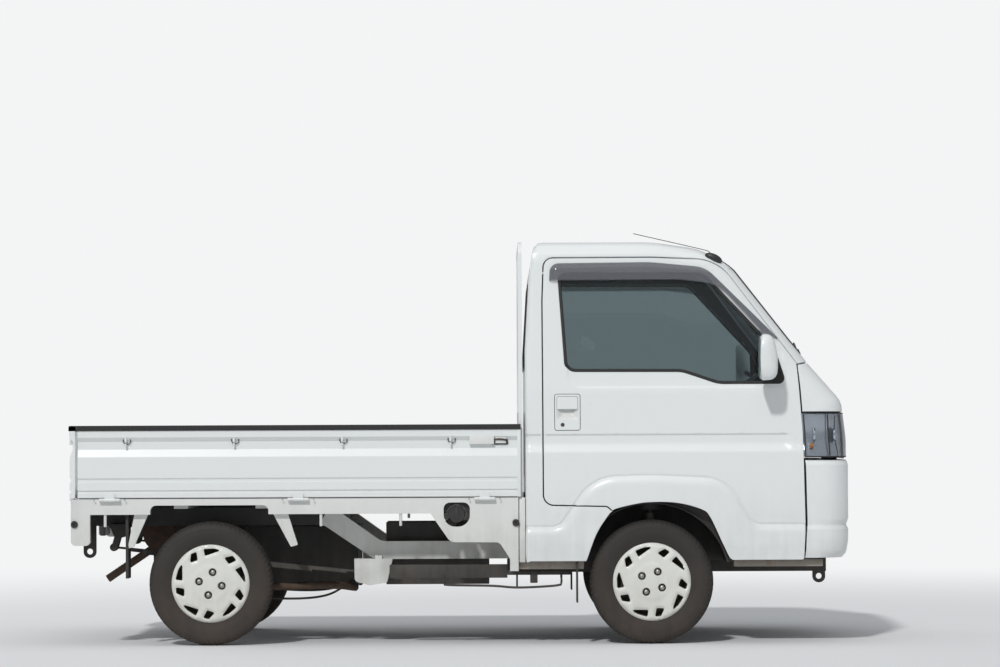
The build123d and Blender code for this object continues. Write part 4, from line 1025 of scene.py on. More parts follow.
@dataclass(frozen=True)
class Finish:
    """Painted, moulded or bare surface, with its film of dirt and its grain."""

    name: str
    slot: str
    color: Tint
    roughness: float
    spread: float = 0.12
    metallic: float = 0.0
    coat: float = 0.0
    film: Tint = (0.25, 0.21, 0.165)
    film_low: float = 0.1
    film_high: float = 1.1
    film_strength: float = 0.35
    bloom: Tint = (0.11, 0.045, 0.02)
    bloom_amount: float = 0.0
    bloom_scale: float = 20.0
    grain_scale: float = 350.0
    grain_depth: float = 0.00008
    alpha: float = 1.0
    transmission: float = 0.0
    ior: float = 1.46

    def material(self, effects: Effects) -> bpy.types.Material:
        """Builds the material, with plain values where the finish has no film of dirt.

        Args:
            effects: The node groups that finishes share.

        Returns:
            The new material.
        """
        material, graph, shader = new_material(self.name)
        paint = (*self.color, 1.0)
        plain = {
            "Metallic": self.metallic, "Coat Weight": self.coat, "Coat Roughness": 0.06, "Alpha": self.alpha,
            "Transmission Weight": self.transmission, "IOR": self.ior,
        }
        if not self.film_strength:
            plain.update({"Base Color": paint, "Roughness": self.roughness})
        for label, value in plain.items():
            shader.inputs[label].default_value = value
        if not self.film_strength:
            return material
        place = graph.add("TexCoord").outputs["Object"]
        if self.bloom_amount:
            paint = graph.add("Group", {
                "Place": place, "Paint": paint, "Bloom": (*self.bloom, 1.0), "Amount": self.bloom_amount,
                "Scale": self.bloom_scale,
            }, node_tree=effects.bloom).outputs["Color"]
        film = graph.add("Group", {
            "Place": place, "Paint": paint, "Film": (*self.film, 1.0), "Low": self.film_low,
            "High": self.film_high, "Strength": self.film_strength,
        }, node_tree=effects.film)
        gloss = graph.add("Group", {
            "Place": place, "Dirt": film.outputs["Mask"], "Base": self.roughness, "Spread": self.spread,
        }, node_tree=effects.gloss)
        grain = graph.add("Group", {
            "Place": place, "Scale": self.grain_scale, "Depth": self.grain_depth,
        }, node_tree=effects.grain)
        graph.link(film.outputs["Color"], shader.inputs["Base Color"])
        graph.link(gloss.outputs["Roughness"], shader.inputs["Roughness"])
        graph.link(grain.outputs["Normal"], shader.inputs["Normal"])
        return material


@dataclass(frozen=True)
class ClothFinish:
    """Woven seat cloth."""

    name: str
    slot: str
    color: Tint
    accent: Tint

    def material(self, effects: Effects) -> bpy.types.Material:
        """Builds the material with its threads in relief."""
        material, graph, shader = new_material(self.name)
        place = graph.add("TexCoord").outputs["Object"]
        weave = graph.add("Group", {"Place": place, "Scale": 260.0}, node_tree=effects.weave)
        color = graph.mix(weave.outputs["Shade"], (*self.color, 1.0), (*self.accent, 1.0))
        bump = graph.add("Bump", {"Height": weave.outputs["Height"], "Distance": 0.0004, "Strength": 0.8})
        graph.link(color, shader.inputs["Base Color"])
        graph.link(bump.outputs[0], shader.inputs["Normal"])
        shader.inputs["Roughness"].default_value = 0.9
        shader.inputs["Sheen Weight"].default_value = 0.3
        return material


@dataclass(frozen=True)
class Palette:
    """Every finish of the truck."""

    finishes: tuple = (
        Finish("White body paint", "body_white", (0.765, 0.79, 0.785), 0.3, 0.1, coat=0.6, film_low=0.32,
               film_high=0.8, film_strength=0.2, grain_scale=90.0, grain_depth=0.00002),
        Finish("Dusty white paint", "body_white", (0.715, 0.73, 0.705), 0.42, 0.16, coat=0.25, film_low=0.2,
               film_high=0.75, film_strength=0.5, grain_scale=120.0, grain_depth=0.00005),
        Finish("Dirty sill", "body_white", (0.3, 0.28, 0.245), 0.7, 0.2, film_strength=0.8, film_high=0.6,
               bloom_amount=0.2, bloom=(0.22, 0.12, 0.06)),
        Finish("Worn bed paint", "body_white", (0.62, 0.635, 0.63), 0.5, 0.2, film=(0.3, 0.25, 0.2),
               film_low=0.4, film_high=1.4, film_strength=0.45, bloom=(0.2, 0.09, 0.045), bloom_amount=0.12,
               bloom_scale=9.0, grain_depth=0.00015),
        Finish("Wheel cap white", "cap_white", (0.72, 0.725, 0.675), 0.42, 0.14, coat=0.2, film_low=0.08,
               film_high=0.5, film_strength=0.28, grain_depth=0.00004),
        # Near-black paint and dirt under the truck; on the engine block, frame and front suspension this
        # black also stands in for the shade under the bed (painted shade).
        Finish("Black underbody", "chassis_black", (0.022, 0.022, 0.023), 0.6, 0.25, film_low=0.1,
               film_high=0.75, film_strength=0.3, bloom=(0.07, 0.035, 0.02), bloom_amount=0.12,
               grain_depth=0.0002),
        Finish("Dark steel", "steel_dark", (0.085, 0.082, 0.078), 0.55, 0.25, metallic=0.75, film_low=0.1,
               film_high=0.8, bloom=(0.12, 0.055, 0.025), bloom_amount=0.2, grain_depth=0.00015),
        # Rust-brown steel made near black as painted shade below the bed; the rust blooms are the steel's
        # own.
        Finish("Rusty steel in painted shade", "rusty_steel", (0.06, 0.038, 0.027), 0.75, 0.2, metallic=0.3,
               film_strength=0.25, bloom=(0.15, 0.066, 0.034), bloom_amount=0.3, bloom_scale=26.0,
               grain_depth=0.0004, grain_scale=220.0),
        Finish("Galvanised steel", "steel_dark", (0.42, 0.42, 0.41), 0.42, 0.2, metallic=0.9,
               film_strength=0.25, bloom_amount=0.08, grain_depth=0.00012),
        Finish("Tyre rubber", "tyre_rubber", (0.026, 0.023, 0.021), 0.72, 0.2, film=(0.11, 0.083, 0.062),
               film_low=0.0, film_high=0.62, film_strength=0.4, grain_scale=500.0, grain_depth=0.00018),
        Finish("Black rubber", "trim_black", (0.018, 0.018, 0.018), 0.6, 0.15, film_strength=0.15,
               grain_depth=0.00012),
        Finish("Black plastic", "trim_black", (0.026, 0.026, 0.027), 0.42, film_strength=0.12,
               grain_scale=700.0, grain_depth=0.0001),
        Finish("Grey cabin plastic", "cabin_grey", (0.17, 0.17, 0.175), 0.6, film_strength=0.05,
               grain_scale=600.0, grain_depth=0.00015),
        Finish("Cabin floor mat", "cabin_grey", (0.055, 0.055, 0.058), 0.85, 0.1, film_strength=0.15,
               grain_scale=260.0, grain_depth=0.0005),
        Finish("Tinted glass", "clear_glass", (0.52, 0.6, 0.61), 0.02, transmission=1.0, film_strength=0.0),
        Finish("Smoked acrylic", "smoked_plastic", (0.15, 0.155, 0.172), 0.08, alpha=0.56, coat=1.0,
               film_strength=0.0),
        Finish("Clear lens", "lamp_lens", (0.95, 0.96, 0.96), 0.05, transmission=1.0, ior=1.5,
               film_strength=0.0),
        Finish("Lamp reflector", "lamp_lens", (0.5, 0.54, 0.6), 0.2, metallic=1.0, film_strength=0.0),
        Finish("Amber lens", "lamp_lens", (0.85, 0.27, 0.02), 0.14, 0.04, film_strength=0.1, coat=1.0,
               grain_scale=160.0, grain_depth=0.0003),
        Finish("Red lens", "tail_lens", (0.5, 0.012, 0.01), 0.14, 0.04, film_strength=0.1, coat=1.0,
               grain_scale=160.0, grain_depth=0.0003),
        Finish("Mirror glass", "clear_glass", (0.88, 0.9, 0.9), 0.03, metallic=1.0, film_strength=0.0),
        ClothFinish("Grey seat cloth", "seat_cloth", (0.2, 0.205, 0.215), (0.09, 0.093, 0.1)),
    )

    def materials(self) -> dict[str, bpy.types.Material]:
        """Builds each finish's material, by name."""
        effects = Effects()
        return {finish.name: finish.material(effects) for finish in self.finishes}


class Kit:
    """What every sub-assembly needs: the forms, the finishes and shared builders."""

    def __init__(self) -> None:
        """Prepares the forms and materials."""
        self.cab = CabForm()
        self.bumper = BumperForm()
        palette = Palette()
        self.finish = palette.materials()
        self.slots = {finish.name: finish.slot for finish in palette.finishes}

    def nose(self, inset: float = 0.0) -> Formed:
        """The cab's front, seen in rays from inside it."""
        return Formed(self.cab, Ray.NOSE, inset)

    def make(
        self, parts: MeshParts, name: str, finishes: Sequence[str], degrees: float = 35.0, bevel: float = 0.0,
    ) -> bpy.types.Object:
        """Makes an object of swept or lathed parts, with even normals.

        Args:
            parts: What it is made of.
            name: Name of the piece.
            finishes: Names of its finishes.
            degrees: Angle above which an edge stays sharp.
            bevel: Rounding of its edges in millimetres.

        Returns:
            The new object.
        """
        piece = parts.build(name, [self.finish[label] for label in finishes], exact=False)
        work = bmesh.new()
        work.from_mesh(piece.data)
        bmesh.ops.recalc_face_normals(work, faces=work.faces)
        work.to_mesh(piece.data)
        work.free()
        return smoothed(piece, degrees, bevel)

    def fit(
        self, parts: MeshParts, name: str, finish: str, body: str = Body.CHASSIS.value,
        nodes: Sequence[str] = (), degrees: float = 35.0, bevel: float = 0.0,
    ) -> bpy.types.Object:
        """Makes an object as make does, of one finish, and places it on its body for the CAD nodes given."""
        return place(self.make(parts, name, [finish], degrees, bevel), body, self.slots[finish], *nodes)

    def sheet(
        self, name: str, finish: str, surface: Surface, outer: np.ndarray, body: str = Body.CHASSIS.value,
        nodes: Sequence[str] = (), inner: Sequence[str] = (), soften: float = 0.0, **options: object,
    ) -> bpy.types.Object:
        """Builds a panel and places it.

        Args:
            name: Name of the piece.
            finish: Name of its finish.
            surface: Surface that its outer face follows.
            outer: Outline in the surface's coordinates.
            body: Body that it rides on.
            nodes: CAD nodes that it stands for.
            inner: Name of the inner face's finish, if it differs.
            soften: Angle in degrees above which an edge stays sharp, where the normals come from the faces.
            options: What panel is given besides.

        Returns:
            The new object.
        """
        piece = panel(name, surface, outer, [self.finish[label] for label in (finish, *inner)], **options)
        if soften:
            smoothed(piece, soften)
        return place(piece, body, self.slots[finish], *nodes)


def bead(
    parts: MeshParts, surface: Surface, loop: np.ndarray, section: Section, closed: bool = True,
) -> None:
    """Runs a strip's section along a line on a surface, such as a rubber seal or a seam.

    Args:
        parts: Mesh to add to.
        surface: Surface that the line lies on.
        loop: The line in the surface's coordinates.
        section: Corners as (out from the line, up from the surface) in millimetres.
        closed: Whether the line closes on itself.
    """
    places = surface.points(loop)
    normals = surface.normals(places)
    if closed:
        along = unit(np.roll(places, -1, axis=0) - np.roll(places, 1, axis=0))
    else:
        along = unit(np.gradient(places, axis=0))
    sweep(parts, places, unit(np.cross(along, normals)), normals, section, closed=closed)


def lathe(
    parts: MeshParts, centre: Point, axis: Point, profile: Section, steps: int = 48, slot: int = 0,
    shape: Optional[Callable[[np.ndarray, float, float], np.ndarray]] = None,
) -> None:
    """Turns a closed profile round an axis.

    Args:
        parts: Mesh to add to.
        centre: Point on the axis.
        axis: Unit direction of the axis.
        profile: Corners as (distance along the axis, radius), closing on themselves.
        steps: Number of steps round.
        slot: Material slot.
        shape: Radius for each angle, from the angles, distance along and plain radius.
    """
    way = np.array(axis, float)
    helper = np.array((0.0, 0.0, 1.0)) if abs(way[2]) < 0.9 else np.array((1.0, 0.0, 0.0))
    first = np.cross(way, helper)
    first /= np.linalg.norm(first)
    second = np.cross(way, first)
    angles = np.arange(steps) * math.tau / steps
    rows = []
    for out, radius in profile:
        spread = np.full(steps, radius) if shape is None else shape(angles, out, radius)
        middle = np.array(centre) + way * out
        rows.append(
            middle + (np.cos(angles) * spread)[:, None] * first + (np.sin(angles) * spread)[:, None] * second
        )
    size = len(profile)
    grid = np.concatenate(rows)
    start = parts.add(grid, np.zeros_like(grid))
    for index in range(size):
        following = (index + 1) % size
        if profile[index][1] < 0.01 and profile[following][1] < 0.01:
            continue
        parts.strip(start + index * steps, start + following * steps, steps, flip=False, slot=slot)


def torus(radius: float, reach: float, count: int) -> Section:
    """Profile of a round ring for a lathe."""
    turns = np.arange(count) * math.tau / count
    return [(radius * math.sin(turn), reach + radius * math.cos(turn)) for turn in turns]


def loft(parts: MeshParts, rows: Sequence[Sequence[Point]]) -> None:
    """Joins closed rows of points into one body with flat ends."""
    size = len(rows[0])
    grid = np.array(rows).reshape(-1, 3)
    start = parts.add(grid, np.zeros_like(grid))
    for index in range(len(rows) - 1):
        parts.strip(start + index * size, start + (index + 1) * size, size, flip=False)
    parts.face([start + corner for corner in range(size)])
    parts.face([start + (len(rows) - 1) * size + corner for corner in reversed(range(size))])


def box_part(parts: MeshParts, low: Point, high: Point) -> None:
    """Adds a block, meant to be rounded with the rest of its piece."""
    path = np.array(((low[0], 0.0, 0.0), (high[0], 0.0, 0.0)))
    section = ((low[1], low[2]), (high[1], low[2]), (high[1], high[2]), (low[1], high[2]))
    sweep(parts, path, np.tile((0.0, 1.0, 0.0), (2, 1)), np.tile((0.0, 0.0, 1.0), (2, 1)), section)


def block(parts: MeshParts, side: Side, along: Span, out: Span, height: Span) -> None:
    """Adds a block on one side, from its reach along, outwards and up."""
    near, far = sorted((side.value * out[0], side.value * out[1]))
    box_part(parts, (along[0], near, height[0]), (along[1], far, height[1]))


def plate(parts: MeshParts, side: Side, loop: np.ndarray, near: float, far: float) -> None:
    """Adds a plate whose outline in X and Z runs outwards on one side, from near to far."""
    path = np.array((side.at(0.0, near, 0.0), side.at(0.0, far, 0.0)))
    section = [tuple(point) for point in loop]
    sweep(parts, path, np.tile((1.0, 0.0, 0.0), (2, 1)), np.tile((0.0, 0.0, 1.0), (2, 1)), section)


def framed(low: Span, high: Span, radius: float, step: float) -> np.ndarray:
    """Rectangle between two corners, with round corners."""
    corners = (low, (high[0], low[1]), high, (low[0], high[1]))
    return rounded([(*corner, radius) for corner in corners], step)


def level_line(start: float, end: float, height: float, count: int) -> np.ndarray:
    """Evenly spread points at one height, in a surface's coordinates."""
    return np.stack((np.linspace(start, end, count), np.full(count, height)), axis=1)


# Door seen from the side, from its lower rear corner over the top to its lower front corner
DOOR_EDGE = (
    (652.0, 572.0, 0.0), (630.0, 592.0, 24.0), (CAB_REAR_X + 78.0, 598.5, 45.0),
    (CAB_REAR_X + 76.0, 1480.0, 0.0), (CAB_REAR_X + 83.0, ROOF_Z - 77.0, 42.0),
    (FRONT_X - 867.5, ROOF_Z - 76.0, 600.0), (FRONT_X - 579.5, ROOF_Z - 87.0, 200.0),
    (FRONT_X - 242.5, COWL_Z, 18.0), (FRONT_X - 219.5, 900.0, 300.0), (FRONT_X - 211.5, 520.0, 200.0),
    (FRONT_X - 218.5, 357.0, 12.0), (FRONT_AXLE_X + 355.0, 357.0, 0.0),
)
# Front wheel arch from its front foot over the top to its rear foot: along from the axle, height
ARCH_EDGE = (
    (355.0, 357.0), (334.0, 366.0), (300.0, 435.0), (249.0, 543.0), (213.0, 576.0), (106.0, 604.0),
    (-24.0, 606.0), (-131.0, 586.0), (-169.0, 572.0), (-192.0, 547.0), (-239.0, 472.0), (-282.0, 357.0),
)
SIDE_WINDOW = (
    (CAB_REAR_X + 177.0, 1176.0, 45.0), (CAB_REAR_X + 147.0, ROOF_Z - 145.0, 30.0),
    (FRONT_X - 645.5, ROOF_Z - 148.0, 60.0), (FRONT_X - 343.5, 1274.0, 150.0),
    (FRONT_X - 295.5, 1121.0, 22.0), (FRONT_X - 584.5, 1121.0, 150.0), (FRONT_X - 740.5, 1174.0, 150.0),
)
# Windows seen from the front: across, height, corner radius
WINDSCREEN = (
    (-612.0, 1246.0, 60.0), (612.0, 1246.0, 60.0), (570.0, ROOF_Z - 83.0, 70.0),
    (-570.0, ROOF_Z - 83.0, 70.0),
)
REAR_WINDOW = (
    (-500.0, 1190.0, 50.0), (500.0, 1190.0, 50.0), (470.0, ROOF_Z - 185.0, 50.0),
    (-470.0, ROOF_Z - 185.0, 50.0),
)
HANDLE_SCOOP = ((415.0, 966.0, 12.0), (507.0, 966.0, 12.0), (507.0, 1066.0, 8.0), (415.0, 1066.0, 8.0))
SMOKED_VISOR = (
    (CAB_REAR_X + 108.0, ROOF_Z - 179.0, 0.0), (CAB_REAR_X + 110.0, ROOF_Z - 102.0, 40.0),
    (FRONT_X - 877.5, ROOF_Z - 98.0, 500.0), (FRONT_X - 635.5, ROOF_Z - 121.0, 120.0),
    (FRONT_X - 305.5, 1290.0, 6.0), (FRONT_X - 397.5, 1335.0, 0.0),
    (FRONT_X - 582.5, ROOF_Z - 197.0, 160.0), (FRONT_X - 749.5, ROOF_Z - 178.0, 0.0),
)
VISOR_STAND = (
    (CAB_REAR_X + 96.0, ROOF_Z - 300.0, 0.0), (CAB_REAR_X + 102.0, ROOF_Z - 98.0, 40.0),
    (FRONT_X - 877.5, ROOF_Z - 94.0, 500.0), (FRONT_X - 630.0, ROOF_Z - 116.0, 120.0),
    (FRONT_X - 290.0, 1284.0, 0.0), (FRONT_X - 520.0, 1150.0, 0.0),
)
# Half the gap between two panels, and the step between the points of an outline
SEAM = 2.6
STEP = 14.0
GLASS_STRIP = ((-7.0, -9.0), (5.0, -9.0), (7.0, 0.5), (3.0, 3.5), (-5.0, 3.0), (-8.0, -1.0))
DOOR_STRIP = ((-8.0, -8.0), (5.0, -8.0), (6.5, 0.5), (3.0, 3.0), (-6.0, 2.5), (-9.0, -2.0))


def door_edge() -> np.ndarray:
    """Outline of the door, left open along the wheel arch."""
    return rounded(DOOR_EDGE, STEP, closed=False)


def arch_parts(edge: np.ndarray) -> tuple[np.ndarray, np.ndarray]:
    """Front wheel arch from front to rear, in two parts that meet at the door's rear corner."""
    line = smooth_path([(FRONT_AXLE_X + along, 0.0, up) for along, up in ARCH_EDGE], STEP)[:, (0, 2)]
    stop = int(np.argmin(np.linalg.norm(line - edge[0], axis=1)))
    return line[1:stop], line[stop:]


@dataclass
class CabShell:
    """White cab: wrap from sill to sill over the roof, back wall, nose panel, arch liners and lower edges."""

    kit: Kit
    thickness: float = 22.0
    sill_z: float = 357.0
    seam_z: float = 1212.0
    lamp_inner: float = 440.0
    lamp_top: float = 994.0
    bumper_top: float = 789.0
    liner_radius: float = 337.0

    def __post_init__(self) -> None:
        """Prepares the surfaces."""
        cab = self.kit.cab
        self.right = Formed(cab, Ray.RIGHT)
        self.wrap = Formed(cab, Ray.WRAP)
        self.nose = Formed(cab, Ray.NOSE)
        self.back = Formed(cab, Ray.BACK)

    def mirrored(self, points: np.ndarray) -> np.ndarray:
        """Points of the left side, in reverse order."""
        flipped = points * np.array((1.0, -1.0, 1.0))
        return flipped[::-1]

    def front_seam(self, low: float, high: float, shift: float) -> np.ndarray:
        """Points of the right side along the door's front edge, from high to low, moved forwards by shift."""
        edge = door_edge()
        line = edge[(edge[:, 0] > FRONT_X - 260.0) & (edge[:, 1] > low) & (edge[:, 1] < high)]
        ends = [(np.interp(height, line[::-1, 1], line[::-1, 0]), height) for height in (high, low)]
        line = np.vstack((ends[0], line, ends[1]))
        return self.right.points(line + np.array((shift, 0.0)))

    def seam_across(self, height: float, start: np.ndarray) -> np.ndarray:
        """Points across the nose at one height, from a point of the right side to its mirror image."""
        edge = self.nose.coordinates(start[None, :])[0]
        count = len(np.arange(edge[0], -edge[0] + STEP / 2, STEP))
        across = np.linspace(edge[0], -edge[0], count)
        rise = np.interp(np.abs(across), (abs(edge[0]) - 40.0, abs(edge[0])), (height, edge[1]))
        return self.nose.points(np.stack((across, rise), axis=1))

    def wrap_loop(self) -> np.ndarray:
        """Outline of the wrap in its own coordinates."""
        edge = door_edge()
        top = int(np.argmin(np.linalg.norm(edge - np.array((FRONT_X - 244.0, COWL_Z)), axis=1)))
        below = arch_parts(edge)[1][::-1]
        door = edge[1:top]
        tangent = unit(np.gradient(door, axis=0))
        door = door + np.stack((-tangent[:, 1], tangent[:, 0]), axis=1) * SEAM
        along = np.arange(300.0, below[0][0] - 8.0, STEP)
        sill = np.stack((along, np.full(len(along), self.sill_z)), axis=1)
        corner = np.array(((FRONT_X - 244.0, COWL_Z - 2.0),))
        side = self.right.points(np.vstack((sill, below, door, corner)))
        front = self.seam_across(self.seam_z, side[-1])[1:-1]
        return self.wrap.coordinates(np.concatenate((side, front, self.mirrored(side), self.rear_seam())))

    def rear_seam(self) -> np.ndarray:
        """Points of the rear corner, from the left sill over the roof to the right sill."""
        low = math.atan2(self.sill_z - Formed.WRAP_Z, 715.0)
        angles = np.linspace(math.pi - low, low, 220)
        heights = np.full(len(angles), 1200.0)
        for _ in range(4):
            along = np.interp(heights, self.kit.cab.back[:, 0], self.kit.cab.back[:, 1]) + 5.0
            places = self.wrap.points(np.stack((along, angles * Formed.WRAP_SCALE), axis=1))
            heights = places[:, 2]
        return places

    def build(self) -> None:
        """Builds and places the shell's pieces."""
        window = rounded(WINDSCREEN, STEP)
        hole = self.wrap.coordinates(self.front_points(window))
        creases = self.right.points(crease_places())
        creases = self.wrap.coordinates(np.concatenate((creases, self.mirrored(creases))))
        self.kit.sheet(
            "cab_skin", "White body paint", self.wrap, self.wrap_loop(), nodes=["cab_shell"], holes=[hole],
            thickness=self.thickness, spacing=22.0, extra=creases,
        )
        rear = self.back.coordinates(self.rear_seam())
        self.kit.sheet(
            "cab_back", "White body paint", self.back, rear, holes=[rounded(REAR_WINDOW, STEP)],
            thickness=self.thickness, spacing=30.0,
        )
        self.build_nose()
        self.build_glazing(window)
        self.build_liners()

    def front_points(self, loop: np.ndarray) -> np.ndarray:
        """Points of the windscreen's surface for an outline seen from the front."""
        start = np.stack((np.zeros(len(loop)), loop[:, 0], loop[:, 1]), axis=1)
        way = np.array((1.0, 0.0, 0.0))
        return start + way * distances(self.kit.cab, start, way, 0.0, 2500.0, 36)[:, None]

    def build_nose(self) -> None:
        """Builds the front panel between windscreen, lamps and bumper."""
        seam = self.front_seam(self.lamp_top + SEAM, 1200.0, SEAM + 1.0)
        top = self.seam_across(self.seam_z - 2 * SEAM, seam[0])[::-1]
        side = self.nose.coordinates(seam)
        inner = self.nose.coordinates(np.array(((FRONT_X - 25.0, -self.lamp_inner + SEAM, 900.0),)))[0][0]
        step = level_line(self.nose.coordinates(seam[-1:])[0][0], inner, self.lamp_top + SEAM, 40)[1:]
        down = np.stack((np.full(16, inner), np.linspace(self.lamp_top, self.bumper_top + SEAM, 16)), axis=1)
        half = np.vstack((side, step, down))
        low = level_line(inner, -inner, self.bumper_top + SEAM, 60)[1:-1]
        other = (half * np.array((-1.0, 1.0)))[::-1]
        loop = np.vstack((half, low, other, self.nose.coordinates(top)[1:-1]))
        self.kit.sheet(
            "front_panel", "White body paint", self.nose, loop, nodes=["nose_panel"],
            holes=[framed((-190.0, 872.0), (190.0, 908.0), 14.0, 10.0)], thickness=8.0, spacing=22.0,
        )
        parts = MeshParts()
        section = ((-3.0, -3.0), (3.0, -3.0), (3.0, 12.0), (-3.0, 12.0))
        for height in (879.0, 890.0, 901.0):
            bead(parts, self.kit.nose(22.0), level_line(-196.0, 196.0, height, 30), section, closed=False)
        self.kit.fit(parts, "nose_intake_bars", "Black plastic")
        self.kit.sheet(
            "nose_backing", "Black underbody", self.kit.nose(30.0),
            framed((-420.0, 700.0), (420.0, 1180.0), 30.0, 30.0), thickness=4.0, spacing=60.0,
        )

    def build_glazing(self, window: np.ndarray) -> None:
        """Builds the windscreen, the rear window and their rubber strips."""
        kit = self.kit
        inset = Formed(kit.cab, Ray.WRAP, 6.0)
        outline = inset.coordinates(self.front_points(grown(window, 1.0)))
        kit.sheet(
            "windscreen_glass", "Tinted glass", inset, outline, nodes=["windscreen"], thickness=4.5,
            spacing=36.0, edge=1.0,
        )
        parts = MeshParts()
        bead(parts, self.wrap, self.wrap.coordinates(self.front_points(grown(window, -3.0))), GLASS_STRIP)
        kit.fit(parts, "windscreen_rubber", "Black rubber")
        window = rounded(REAR_WINDOW, STEP)
        kit.sheet(
            "rear_glass", "Tinted glass", Formed(kit.cab, Ray.BACK, 6.0), grown(window, 1.0),
            nodes=["rear_window"], thickness=4.0, spacing=50.0, edge=1.0,
        )
        parts = MeshParts()
        bead(parts, self.back, grown(window, -3.0)[::-1], GLASS_STRIP)
        kit.fit(parts, "rear_window_rubber", "Black rubber")

    def build_liners(self) -> None:
        """Builds the arch liners, the mud flaps and the flange below the sill."""
        angles = np.radians(np.linspace(14.0, 162.0, 40))
        cosine, sine = np.cos(angles), np.sin(angles)
        radius = self.liner_radius
        across = np.tile((0.0, 1.0, 0.0), (40, 1))
        up = np.stack((cosine, np.zeros(40), sine), axis=1)
        wall = np.stack((FRONT_AXLE_X + (radius + 1.0) * cosine, AXLE_Z + (radius + 1.0) * sine), axis=1)
        for side in Side:
            parts = MeshParts()
            path = np.stack((
                FRONT_AXLE_X + radius * cosine, np.full(40, side.value * 555.0), AXLE_Z + radius * sine,
            ), axis=1)
            sweep(parts, path, across, up, ((-140.0, 0.0), (140.0, 0.0), (140.0, 4.0), (-140.0, 4.0)))
            rib = ((118.0, -2.0), (124.0, -2.0), (124.0, 96.0), (118.0, 96.0))
            sweep(parts, path, across * side.value, up, rib)
            plate(parts, side, wall, 404.0, 410.0)
            block(parts, side, (497.0, 504.0), (592.0, 712.0), (178.0, 400.0))
            self.kit.fit(parts, f"arch_liner_{side.word}", "Black underbody", bevel=1.5)
            parts = MeshParts()
            block(parts, side, (212.0, 530.0), (655.0, 688.0), (322.0, 360.0))
            block(parts, side, (1176.0, 1560.0), (655.0, 688.0), (330.0, 362.0))
            self.kit.fit(parts, f"sill_flange_{side.word}", "Dirty sill", bevel=4.0)
            parts = MeshParts()
            block(parts, side, (BED_FRONT_X + 1.5, CAB_REAR_X - 0.6), (690.0, 717.0), (353.0, 632.0))
            self.kit.fit(parts, f"corner_strip_{side.word}", "Dusty white paint", bevel=2.5)


